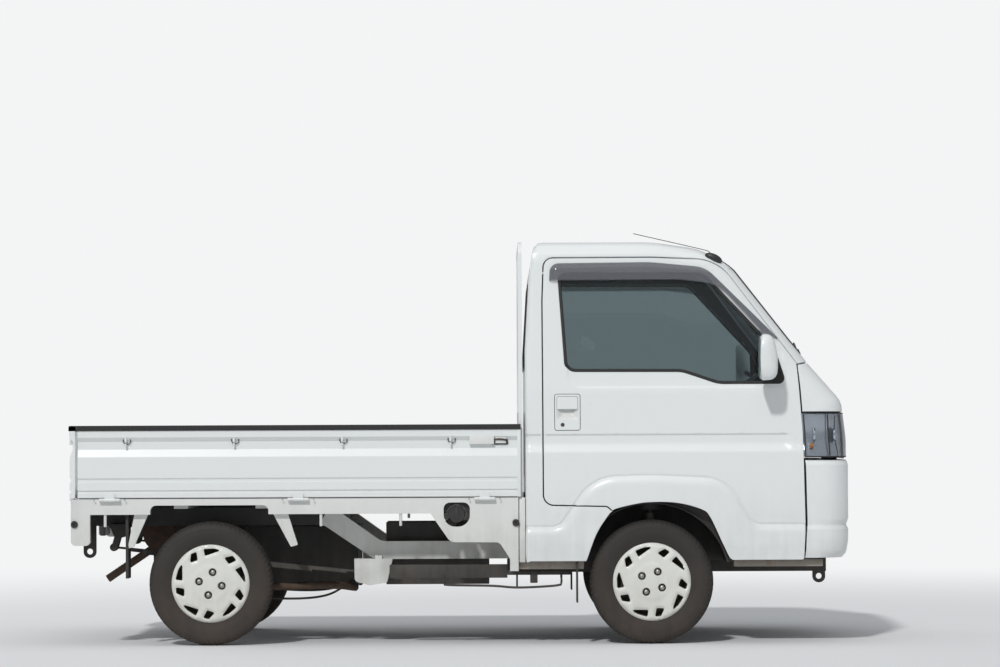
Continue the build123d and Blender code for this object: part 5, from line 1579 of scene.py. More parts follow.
@dataclass
class Doors:
    """Doors with their glass, smoked visors, handles and mirrors."""

    kit: Kit
    sail_x: float = FRONT_X - 362.0
    mirror_z: float = 1229.0

    def build(self) -> None:
        """Builds both doors."""
        edge = door_edge()
        loop = grown(np.concatenate((edge, arch_parts(edge)[0])), -SEAM)
        window = rounded(SIDE_WINDOW, STEP)
        for side in Side:
            self.build_door(side, loop, window)
            self.build_visor(side)
            self.build_handle(side)
            self.build_mirror(side)

    def surface(self, side: Side, inset: float = 0.0) -> Formed:
        """The cab's side seen from outside."""
        return Formed(self.kit.cab, Ray.RIGHT if side is Side.RIGHT else Ray.LEFT, inset)

    def build_door(self, side: Side, loop: np.ndarray, window: np.ndarray) -> None:
        """Builds one door's skin, lining, glass and seals."""
        kit = self.kit
        surface = self.surface(side)
        kit.sheet(
            f"door_skin_{side.word}", "White body paint", surface, loop, side.door, [f"door_{side.word}"],
            inner=["Grey cabin plastic"], holes=[window, rounded(HANDLE_SCOOP, 8.0)], thickness=20.0,
            spacing=20.0, extra=crease_places(),
        )
        lower = rounded((
            (440.0, 700.0, 40.0), (1360.0, 700.0, 40.0), (1370.0, 1060.0, 60.0), (470.0, 1060.0, 60.0),
        ), 20.0)
        kit.sheet(
            f"door_lining_{side.word}", "Grey cabin plastic", self.surface(side, 20.5), lower, side.door,
            thickness=14.0, edge=6.0, spacing=50.0,
        )
        kit.sheet(
            f"door_pane_{side.word}", "Tinted glass", self.surface(side, 6.5), grown(window, 1.0), side.door,
            [f"door_glass_{side.word}"], thickness=4.0, spacing=50.0, edge=1.0,
        )
        parts = MeshParts()
        bead(parts, surface, grown(window, -3.0), [(out * surface.hand, up) for out, up in DOOR_STRIP])
        sail = window[window[:, 0] > self.sail_x]
        order = np.argsort(np.arctan2(sail[:, 1] - 1190.0, sail[:, 0] - 1365.0))
        rubber = [kit.finish["Black rubber"]]
        corner = grown(sail[order], -2.0)
        panel("", self.surface(side, -1.5), corner, rubber, thickness=10.0, spacing=30.0, parts=parts)
        kit.fit(parts, f"window_rubber_{side.word}", "Black rubber", side.door)

    def build_visor(self, side: Side) -> None:
        """Builds the smoked visor that stands off the door above its window."""
        stand = rounded(VISOR_STAND, STEP)

        def lift(uv: np.ndarray) -> np.ndarray:
            """Height above the door for each place."""
            return 4.5 + 12.0 * field_level(Relief.depth_inside(uv, stand), 0.0, 34.0)

        self.kit.sheet(
            f"visor_{side.word}", "Smoked acrylic", self.surface(side), rounded(SMOKED_VISOR, 12.0),
            side.door, [f"door_visor_{side.word}"], soften=50.0, thickness=3.0, edge=1.2, spacing=14.0,
            lift=lift,
        )

    def build_handle(self, side: Side) -> None:
        """Builds the bezel, scoop, flap and lock of the outer handle."""
        kit = self.kit
        bezel = framed((407.0, 921.0), (515.0, 1075.0), 9.0, 8.0)
        recess = rounded(HANDLE_SCOOP, 8.0)
        flap = rounded((
            (416.5, 1011.0, 4.0), (505.5, 1011.0, 4.0), (505.5, 1064.5, 7.0), (416.5, 1064.5, 7.0),
        ), 8.0)

        def sink(uv: np.ndarray) -> np.ndarray:
            """Height of the scoop's hollow, below the door for each place."""
            return -14.0 * field_level(Relief.depth_inside(uv, recess), 0.0, 24.0)

        def layer(parts: MeshParts, inset: float, outer: np.ndarray, **options: object) -> None:
            """Adds one plate of the handle."""
            paint = [kit.finish["White body paint"]]
            panel("", self.surface(side, inset), outer, paint, parts=parts, **options)

        parts = MeshParts()
        layer(parts, -2.8, bezel, holes=[recess], thickness=4.0, edge=1.6, spacing=20.0)
        layer(parts, -5.0, flap, thickness=5.0, edge=2.2, spacing=20.0)
        kit.fit(parts, f"handle_{side.word}", "White body paint", side.door)
        parts = MeshParts()
        layer(parts, -0.7, grown(bezel, 2.4), holes=[recess], thickness=3.0, edge=0.6, spacing=30.0)
        kit.fit(parts, f"handle_seam_{side.word}", "Black rubber", side.door)
        kit.sheet(
            f"handle_scoop_{side.word}", "Dusty white paint", self.surface(side, 0.5), grown(recess, 1.5),
            side.door, soften=50.0, thickness=2.5, edge=0.8, spacing=7.0, lift=sink,
        )
        parts = MeshParts()
        spot = self.surface(side).points(np.array(((440.0, 944.0),)))
        out = self.surface(side).normals(spot)[0]
        rings = ((0.0, 8.5), (2.0, 8.5), (3.0, 7.0), (3.0, 3.0), (1.5, 2.5), (1.5, 0.0), (0.0, 0.0))
        lathe(parts, tuple(spot[0] + out * 2.0), tuple(out), rings, 24)
        kit.fit(parts, f"door_lock_{side.word}", "Dark steel", side.door)

    def build_mirror(self, side: Side) -> None:
        """Builds the mirror's housing, its arm and its glass."""
        kit = self.kit
        rows = []
        for share in np.linspace(0.0, 1.0, 15):
            swell = (1.0 - abs(2 * share - 1.0) ** 5) ** 0.5
            half_z = 40.0 + 58.5 * swell
            depth = 14.0 + 34.0 * swell
            points = []
            for turn in np.linspace(0.0, math.tau, 33)[:-1]:
                cosine, sine = math.cos(turn), math.sin(turn)
                along = np.sign(cosine) * abs(cosine) ** 0.62
                up = np.sign(sine) * abs(sine) ** 0.42
                reach = 20.0
                if cosine > 0:
                    reach = (depth + 9.0) * (0.55 + 0.45 * swell) * (1.0 - 0.3 * max(0.0, up))
                out = 770.0 + 135.0 * share
                points.append(side.at(FRONT_X - 396.0 + along * reach, out, self.mirror_z + up * half_z))
            rows.append(points)
        parts = MeshParts()
        loft(parts, rows)
        name = f"mirror_housing_{side.word}"
        kit.fit(parts, name, "White body paint", side.door, [f"mirror_{side.word}"], 60.0)
        parts = MeshParts()
        tube(parts, (
            side.at(FRONT_X - 338.0, 690.0, 1165.0), side.at(FRONT_X - 345.0, 735.0, 1172.0),
            side.at(FRONT_X - 368.0, 782.0, 1190.0),
        ), 10.5, 12)
        kit.fit(parts, f"mirror_arm_{side.word}", "Black plastic", side.door)
        parts = MeshParts()
        loop = framed((-900.0, 1138.0), (-778.0, 1319.0), 22.0, 10.0)
        if side is Side.RIGHT:
            loop = loop * np.array((-1.0, 1.0))
        back = Flat((FRONT_X - 416.0, 0.0, 0.0), (0.0, -1.0, 0.0), (0.0, 0.0, 1.0))
        mirror = [kit.finish["Mirror glass"]]
        panel("", back, loop, mirror, thickness=3.0, edge=1.0, spacing=50.0, parts=parts)
        kit.fit(parts, f"mirror_glass_{side.word}", "Mirror glass", side.door)


@dataclass
class NoseFittings:
    """Bumper and headlamps."""

    kit: Kit
    bottom: float = 366.0
    lamp_bottom: float = 797.0
    lamp_middle: float = 895.0

    def build(self) -> None:
        """Builds the bumper and lamps."""
        kit = self.kit
        nose = Formed(kit.bumper, Ray.NOSE)
        shell = CabShell(kit)
        side = nose.coordinates(shell.front_seam(self.bottom, shell.bumper_top, SEAM + 1.0))
        low = level_line(side[-1][0], -side[-1][0], self.bottom, 100)[1:-1]
        high = level_line(-side[0][0], side[0][0], shell.bumper_top, 100)[1:-1]
        loop = np.vstack((side, low, (side * np.array((-1.0, 1.0)))[::-1], high))
        intake = rounded((
            (-250.0, 395.0, 16.0), (250.0, 395.0, 16.0), (262.0, 468.0, 16.0), (-262.0, 468.0, 16.0),
        ), 12.0)
        slits = [framed((sign * 300.0, 548.0), (sign * 470.0, 570.0), 9.0, 10.0) for sign in (-1, 1)]
        rows = np.stack(np.meshgrid(np.arange(-860.0, 861.0, 13.0), BUMPER_ROWS), axis=-1).reshape(-1, 2)
        kit.sheet(
            "bumper_skin", "White body paint", nose, loop, nodes=["front_bumper"], holes=[intake, *slits],
            thickness=14.0, edge=4.0, spacing=14.0, extra=rows,
        )
        kit.sheet(
            "bumper_backing", "Black underbody", Formed(kit.bumper, Ray.NOSE, 18.0),
            framed((-520.0, 384.0), (520.0, 620.0), 20.0, 30.0), thickness=4.0, spacing=60.0,
        )
        parts = MeshParts()
        inset = Formed(kit.bumper, Ray.NOSE, 12.0)
        for height in (412.0, 431.0, 450.0):
            bar = level_line(-262.0, 262.0, height, 36)
            bead(parts, inset, bar, ((-3.0, -4.0), (3.0, -4.0), (2.0, 7.0), (-2.0, 7.0)), closed=False)
        kit.fit(parts, "bumper_bars", "Black plastic")
        self.build_lamps(shell)

    def build_lamps(self, shell: CabShell) -> None:
        """Builds each lamp's lens, reflector bowl, bulb, housing and amber part."""
        kit = self.kit
        low, high = self.lamp_bottom + SEAM, shell.lamp_top - SEAM
        seam = shell.nose.coordinates(shell.front_seam(low, high, SEAM + 1.0))
        inner = shell.nose.coordinates(np.array(((FRONT_X - 25.0, -shell.lamp_inner - SEAM, 900.0),)))[0][0]
        outer = seam[0][0]
        bottom = level_line(seam[-1][0], inner, low, 40)[1:]
        top = level_line(inner, outer, high, 40)[:-1]
        loop = np.vstack((seam, bottom, top))
        for side in Side:
            sign = -side.value
            shape = loop * np.array((sign, 1.0))
            kit.sheet(
                f"lamp_lens_{side.word}", "Clear lens", kit.nose(-1.0), shape,
                nodes=["headlamps"] if side is Side.RIGHT else [], thickness=5.0, edge=2.0, spacing=26.0,
            )
            kit.sheet(
                f"lamp_bowl_{side.word}", "Lamp reflector", kit.nose(26.0), grown(shape, -2.0), soften=50.0,
                thickness=3.0, edge=1.0, spacing=16.0,
                lift=lambda uv: -7.0 * np.cos((uv[:, 1] - self.lamp_middle) / 98.0 * math.pi / 2) ** 2,
            )
            parts = MeshParts()
            wall = ((-3.0, -26.0), (3.0, -26.0), (3.0, 0.0), (-1.0, 0.0))
            bead(parts, kit.nose(2.0), grown(shape, -3.0), wall)
            for share in (0.86, 0.62):
                across = inner * (1 - share) + outer * share
                spot = kit.nose(22.0).points(np.array(((sign * across, self.lamp_middle),)))[0]
                cup = ((0.0, 30.0), (6.0, 32.0), (9.0, 30.0), (5.0, 22.0), (1.0, 0.0), (0.0, 0.0))
                lathe(parts, tuple(spot), (1.0, 0.0, 0.0), cup, 32)
            kit.fit(parts, f"lamp_rim_{side.word}", "Lamp reflector")
            parts = MeshParts()
            spot = kit.nose(15.0).points(np.array(((sign * (inner * 0.1 + outer * 0.9), 850.0),)))[0]
            bulb = ((-4.0, 9.0), (4.0, 11.0), (10.0, 8.0), (13.0, 0.0), (-4.0, 0.0))
            lathe(parts, tuple(spot), (1.0, 0.0, 0.0), bulb, 20)
            kit.fit(parts, f"lamp_bulb_{side.word}", "Amber lens")
            parts = MeshParts()
            seal = ((-4.5, -6.0), (0.8, -6.0), (0.8, 0.4), (-3.5, 0.8))
            bead(parts, kit.nose(-1.0), grown(shape, -0.5), seal)
            for share in (0.3, 0.52):
                across = sign * (inner * share + outer * (1.0 - share))
                line = np.array(((across, 806.0), (across, self.lamp_middle), (across, 984.0)))
                rib = ((-1.5, -6.0), (1.5, -6.0), (1.5, 3.0), (-1.5, 3.0))
                bead(parts, kit.nose(12.0), line, rib, closed=False)
            kit.fit(parts, f"lamp_seal_{side.word}", "Black rubber")


@dataclass
class Wheels:
    """Tyres, steel wheels and full caps."""

    kit: Kit
    cap_radius: float = 168.0
    nut_circle: float = 50.0
    blocks: int = 74
    # Slots of one fifth of the cap: across, up, corner radius
    slots: tuple = (
        (
            (-72.0, 134.0, 6.0), (-30.0, 149.0, 20.0), (-2.0, 150.0, 4.0), (-6.0, 144.0, 4.0),
            (-58.0, 107.0, 5.0),
        ),
        ((23.0, 124.0, 6.0), (57.0, 142.0, 6.0), (78.0, 128.0, 6.0), (51.0, 103.0, 7.0)),
    )
    nut_angle: float = 60.0
    rear_turn: float = 199.0
    # Outer half of the tyre: distance from its middle plane, radius
    half: tuple = (
        (52.0, 154.0), (56.5, 158.0), (58.5, 166.0), (61.0, 170.0), (64.0, 176.0), (64.6, 178.0),
        (67.4, 184.0), (70.6, 194.0), (72.6, 205.0), (73.2, 214.0), (72.4, 224.0), (70.9, 231.0),
        (71.2, 233.0), (69.2, 239.0), (66.6, 245.0), (64.4, 250.0), (60.8, 255.5), (56.0, 259.6),
        (51.0, 262.4), (45.0, 264.3), (38.0, 265.5), (31.5, 266.2), (31.0, 259.5), (25.5, 259.5),
        (25.0, 266.4), (18.0, 266.6), (11.0, 266.6), (10.5, 259.8), (4.8, 259.8), (4.2, 266.6),
    )

    def build(self) -> None:
        """Builds the four wheels."""
        for end, axle_x, turn in (("front", FRONT_AXLE_X, 0.0), ("rear", REAR_AXLE_X, self.rear_turn)):
            for side in Side:
                name = f"{end}_{side.word}"
                centre = side.at(axle_x, TRACK_HALF, AXLE_Z)
                body = f"wheel_{name}_body"
                parts = MeshParts()
                self.tyre(parts, centre, side)
                self.kit.fit(parts, f"tread_{name}", "Tyre rubber", body, [f"tyre_{name}"], 40.0)
                parts = MeshParts()
                self.steel(parts, centre, side, turn)
                rim = self.kit.make(parts, f"rim_{name}", ["Dark steel", "Galvanised steel"])
                place(rim, body, "steel_dark")
                self.cap(name, centre, side, body, turn)

    def nut_places(self, side: Side, turn: float) -> list[tuple[float, float]]:
        """Places of the nuts from the wheel's axis, as along and up."""
        angles = [math.radians(self.nut_angle + turn + 90.0 * index) for index in range(4)]
        radius = self.nut_circle
        return [(-side.value * radius * math.cos(angle), radius * math.sin(angle)) for angle in angles]

    def tyre(self, parts: MeshParts, centre: Point, side: Side) -> None:
        """Adds one tyre with its grooves, shoulder blocks and sidewall rings."""
        other = [(-out, radius) for out, radius in reversed(self.half)]
        profile = [*self.half, *other, (-50.0, 152.8), (50.0, 152.8)]

        def tread(angles: np.ndarray, out: float, radius: float) -> np.ndarray:
            """Radius with the cuts between the tread's blocks."""
            spread = np.full(len(angles), radius)
            reach = abs(out)
            if radius < 244.0 or abs(radius - 259.6) < 0.3 and reach < 40.0:
                return spread
            slant = out * 0.012 * (1 if reach < 28.0 else 2)
            turn = angles / math.tau * self.blocks + slant + (0.5 if out > 0 else 0.0)
            width, depth = (0.26, 4.6) if reach > 30.0 else (0.2, 3.4)
            return np.where((turn % 1.0) < width, spread - depth * (1.0 if radius > 250.0 else 0.55), spread)

        lathe(parts, centre, side.way, profile, self.blocks * 4, shape=tread)

    def steel(self, parts: MeshParts, centre: Point, side: Side, turn: float) -> None:
        """Adds the steel rim, its disc, the drum and the nuts."""
        lathe(parts, centre, side.way, (
            (-57.5, 163.0), (-55.0, 154.0), (-50.0, 152.0), (-26.0, 151.6), (-18.0, 139.0), (14.0, 139.0),
            (26.0, 151.6), (50.0, 152.0), (55.0, 154.0), (57.5, 163.0), (60.0, 163.0), (57.0, 150.0),
            (26.0, 146.5), (14.0, 134.0), (-18.0, 134.0), (-27.0, 146.5), (-57.0, 150.0),
        ), 72)
        lathe(parts, centre, side.way, (
            (14.0, 137.0), (20.0, 137.0), (30.0, 122.0), (46.0, 108.0), (47.0, 84.0), (40.0, 70.0),
            (41.0, 25.0), (38.0, 25.0), (37.0, 70.0), (43.0, 84.0), (42.0, 106.0), (26.0, 119.0),
            (16.0, 132.0),
        ), 60)
        drum = ((36.0, 30.0), (58.0, 29.0), (61.0, 24.0), (61.0, 0.0), (36.0, 0.0))
        lathe(parts, centre, side.way, drum, 32)
        nut = ((0.0, 12.6), (22.0, 12.6), (25.0, 10.8), (31.0, 9.6), (34.0, 6.0), (35.0, 0.0), (0.0, 0.0))
        for along, up in self.nut_places(side, turn):
            spot = (centre[0] + along, centre[1] + side.value * 38.0, centre[2] + up)
            lathe(parts, spot, side.way, nut, 12, slot=1)

    def cap(self, name: str, centre: Point, side: Side, body: str, turn: float) -> None:
        """Builds one full cap, domed, with slots, nut pockets and a rolled edge."""
        surface = side_plane(side, TRACK_HALF)
        middle = surface.coordinates(np.array((centre,)))[0]
        angles = np.arange(120) * math.tau / 120
        circle = np.stack((np.cos(angles), np.sin(angles)), axis=1)
        holes = []
        pockets = []
        mirror = np.array((-float(side.value), 1.0))
        for index in range(5):
            angle = math.tau / 5 * index + math.radians(turn)
            spin = np.array(((math.cos(angle), math.sin(angle)), (-math.sin(angle), math.cos(angle))))
            for slot in self.slots:
                loop = rounded(slot, 5.0)
                holes.append(middle + (loop @ spin) * mirror)
                pockets.append(middle + (grown(loop, 9.0) @ spin) * mirror)
        holes += [middle + np.array(spot) + 18.6 * circle[::5] for spot in self.nut_places(side, turn)]
        reaches = (0.0, 30.0, 34.0, 72.0, 86.0, 140.0, 150.0, 157.0, 164.0, 168.0)
        heights = (75.5, 75.5, 74.5, 74.0, 71.0, 72.5, 73.0, 71.0, 65.5, 61.0)

        def dome(uv: np.ndarray) -> np.ndarray:
            """Height of the cap over the wheel's middle plane."""
            base = np.interp(np.linalg.norm(uv - middle, axis=1), reaches, heights)
            sunk = np.zeros(len(uv))
            for pocket in pockets:
                sunk = np.maximum(sunk, field_level(Relief.depth_inside(uv, pocket), 0.0, 7.0))
            return base - 6.0 * sunk

        self.kit.sheet(
            f"cap_{name}", "Wheel cap white", surface, middle + self.cap_radius * circle, body,
            [f"wheel_{name}"], soften=55.0, holes=holes, thickness=3.6, edge=1.2, spacing=6.0, lift=dome,
        )
        parts = MeshParts()
        for along, up in self.nut_places(side, turn):
            spot = (centre[0] + along, centre[1] + side.value * 60.0, centre[2] + up)
            lathe(parts, spot, side.way, ((-8.0, 18.4), (12.0, 18.4), (12.0, 16.8), (-6.0, 16.8)), 28)
        self.kit.fit(parts, f"nut_wells_{name}", "Wheel cap white", body)


@dataclass
class LoadBed:
    """Gates' strips, hooks, latches and stops, the ribbed deck and the fuel cap."""

    kit: Kit
    outer: float = 730.0
    top: float = 945.0
    hook_places: tuple = (-1441.0, -975.0, -509.0, -43.0)
    hook: tuple = ((716.0, 893.0), (728.0, 890.0), (731.0, 880.0), (731.0, 858.0))
    peg_places: tuple = (-1531.0, -602.0, -259.0)
    # Lenses of a tail lamp: finish, name, reach outwards
    lenses: tuple = (
        ("Red lens", "red", (548.0, 638.0)), ("Amber lens", "amber", (484.0, 546.0)),
        ("Clear lens", "clear", (432.0, 482.0)),
    )

    def build(self) -> None:
        """Builds what is fixed to the gates and the deck."""
        for side in Side:
            self.side_gate(side)
            self.rail(side)
        self.tailgate()
        self.lamps()
        self.deck()

    def strip(self, name: str, body: str, start: Point, end: Point, across: Point) -> None:
        """Builds the rubber strip that caps a gate's top edge."""
        parts = MeshParts()
        path = np.linspace(start, end, 30)
        section = ((-28.0, -19.6), (-28.0, -1.0), (-24.0, 3.4), (-1.0, 3.4), (3.2, -0.4), (3.4, -19.6))
        sweep(parts, path, np.tile(across, (30, 1)), np.tile((0.0, 0.0, 1.0), (30, 1)), section)
        self.kit.fit(parts, name, "Black rubber", body, degrees=40.0)

    def side_gate(self, side: Side) -> None:
        """Builds one side gate's strip, rope hooks, latch levers and end plates."""
        kit = self.kit
        body = f"side_gate_{side.word}_body"
        front = BED_FRONT_X + 9.0
        ends = [side.at(along, self.outer, self.top) for along in (BED_REAR_X, front)]
        self.strip(f"gate_strip_{side.word}", body, *ends, side.way)
        parts = MeshParts()
        block(parts, side, (BED_FRONT_X - 6.5, front), (712.0, 731.0), (636.0, 926.0))
        kit.fit(parts, f"gate_flange_{side.word}", "White body paint", body, (), 40.0, 2.5)
        rings = MeshParts()
        parts = MeshParts()
        for along in self.hook_places:
            tube(parts, [side.at(along, out, up) for out, up in self.hook], 5.0, 10, step=5.0)
            lathe(rings, side.at(along + 5.0, 722.0, 884.0), side.way, torus(2.0, 16.0, 8), 28)
        lever = BED_FRONT_X - 212.0
        block(parts, side, (lever, lever + 106.0), (716.0, 733.0), (862.0, 899.0))
        block(parts, side, (lever + 112.0, lever + 158.0), (716.0, 727.0), (866.0, 898.0))
        block(rings, side, (lever + 98.0, lever + 166.0), (714.0, 719.0), (860.0, 901.0))
        tube(rings, (
            side.at(lever + 90.0, 728.0, 880.0), side.at(lever + 130.0, 731.0, 884.0),
            side.at(lever + 164.0, 729.0, 879.0),
        ), 4.0, 8)
        for along in (BED_REAR_X + 46.0, BED_REAR_X + 76.0):
            rivet = ((0.0, 7.0), (1.2, 7.0), (1.2, 0.0), (0.0, 0.0))
            lathe(rings, side.at(along, 714.6, 889.0), side.way, rivet, 20)
        kit.fit(rings, f"gate_rings_{side.word}", "Dark steel", body, degrees=40.0)
        kit.fit(parts, f"gate_fittings_{side.word}", "Dusty white paint", body, (), 40.0, 2.0)
        parts = MeshParts()
        pin = ((-1.5, 4.2), (1.5, 4.2), (2.5, 3.0), (2.5, 0.0), (-2.5, 0.0), (-2.5, 3.0))
        for along in (BED_REAR_X + 138.0, (BED_REAR_X + BED_FRONT_X) / 2, BED_FRONT_X - 147.0):
            for end in (-66.5, 66.5):
                lathe(parts, side.at(along + end, 738.0, 628.0), (1.0, 0.0, 0.0), pin, 16)
        kit.fit(parts, f"hinge_pins_{side.word}", "Galvanised steel")

    def rail(self, side: Side) -> None:
        """Builds the rubber stops and pegs of one bed side, and the fuel cap on the right."""
        kit = self.kit
        parts = MeshParts()
        stop = ((0.0, 15.5), (7.0, 15.5), (12.0, 12.0), (12.0, 6.0), (8.0, 5.0), (8.0, 0.0), (0.0, 0.0))
        for along in (BED_REAR_X - 15.0, 237.0):
            lathe(parts, side.at(along, 722.0, 524.0), side.way, stop, 24)
        kit.fit(parts, f"bed_stops_{side.word}", "Black rubber")
        parts = MeshParts()
        peg = ((0.0, 4.0), (2.0, 6.5), (56.0, 6.5), (56.0, 0.0), (0.0, 0.0))
        for along in self.peg_places:
            lathe(parts, side.at(along, 712.0, 512.0), (0.0, 0.0, 1.0), peg, 16)
        kit.fit(parts, f"rope_pegs_{side.word}", "Dusty white paint")
        if side is Side.LEFT:
            return

        def grip(angles: np.ndarray, _: float, radius: float) -> np.ndarray:
            """Radius with the teeth round the cap's rim."""
            return radius + (0.9 * np.sign(np.sin(angles * 20)) if radius > 33.0 else 0.0 * angles)

        parts = MeshParts()
        lathe(parts, (-17.5, -700.0, 561.0), side.way, (
            (0.0, 36.0), (10.0, 36.0), (21.0, 34.5), (24.5, 31.0), (24.5, 27.0), (21.5, 24.0), (21.5, 0.0),
            (0.0, 0.0),
        ), 40, shape=grip)
        box_part(parts, (-24.0, -728.0, 535.0), (-11.0, -718.0, 587.0))
        kit.fit(parts, "fuel_cap", "Black plastic", degrees=40.0, bevel=0.6)

    def tailgate(self) -> None:
        """Builds the tailgate's strip, latches and hooks."""
        rear = REAR_X + 13.5
        body = Body.TAILGATE.value
        ends = [(rear, across, self.top) for across in (-self.outer, self.outer)]
        self.strip("tailgate_strip", body, *ends, (-1.0, 0.0, 0.0))
        parts = MeshParts()
        for across in (-640.0, 640.0):
            box_part(parts, (rear - 2.0, across - 62.0, 866.0), (rear + 12.0, across + 62.0, 896.0))
        for across in (-380.0, 0.0, 380.0):
            tube(parts, (
                (rear + 14.0, across, 893.0), (rear + 1.0, across, 893.0), (rear - 1.0, across, 878.0),
                (rear, across + 12.0, 862.0), (rear + 1.0, across, 853.0), (rear, across - 12.0, 862.0),
            ), 3.6, 8, step=6.0)
        self.kit.fit(parts, "tailgate_fittings", "Dusty white paint", body, (), 40.0, 1.0)

    def lamps(self) -> None:
        """Builds the tail lamps, each with a housing and three lenses."""
        for side in Side:
            parts = MeshParts()
            block(parts, side, (REAR_X + 21.0, REAR_X + 44.0), (428.0, 642.0), (443.0, 542.0))
            self.kit.fit(parts, f"tail_lamp_case_{side.word}", "Black plastic", bevel=3.0)
            for finish, color, reach in self.lenses:
                parts = MeshParts()
                block(parts, side, (REAR_X + 14.0, REAR_X + 24.0), reach, (447.0, 538.0))
                piece = self.kit.make(parts, f"tail_{color}_{side.word}", [finish], bevel=4.0)
                nodes = ["tail_lamps"] if color == "red" and side is Side.RIGHT else []
                place(piece, Body.CHASSIS.value, "tail_lens", *nodes)

    def deck(self) -> None:
        """Builds the pressed ribs on the load floor."""
        parts = MeshParts()
        ridge = ((-26.0, -1.0), (26.0, -1.0), (21.0, 2.2), (17.0, 3.2), (-17.0, 3.2), (-21.0, 2.2))
        for across in np.linspace(-620.0, 620.0, 14):
            path = np.array(((BED_REAR_X + 70.0, across, FLOOR_Z), (BED_FRONT_X - 60.0, across, FLOOR_Z)))
            sweep(parts, path, np.tile((0.0, 1.0, 0.0), (2, 1)), np.tile((0.0, 0.0, 1.0), (2, 1)), ridge)
        self.kit.fit(parts, "deck_ribs", "Worn bed paint", degrees=40.0)


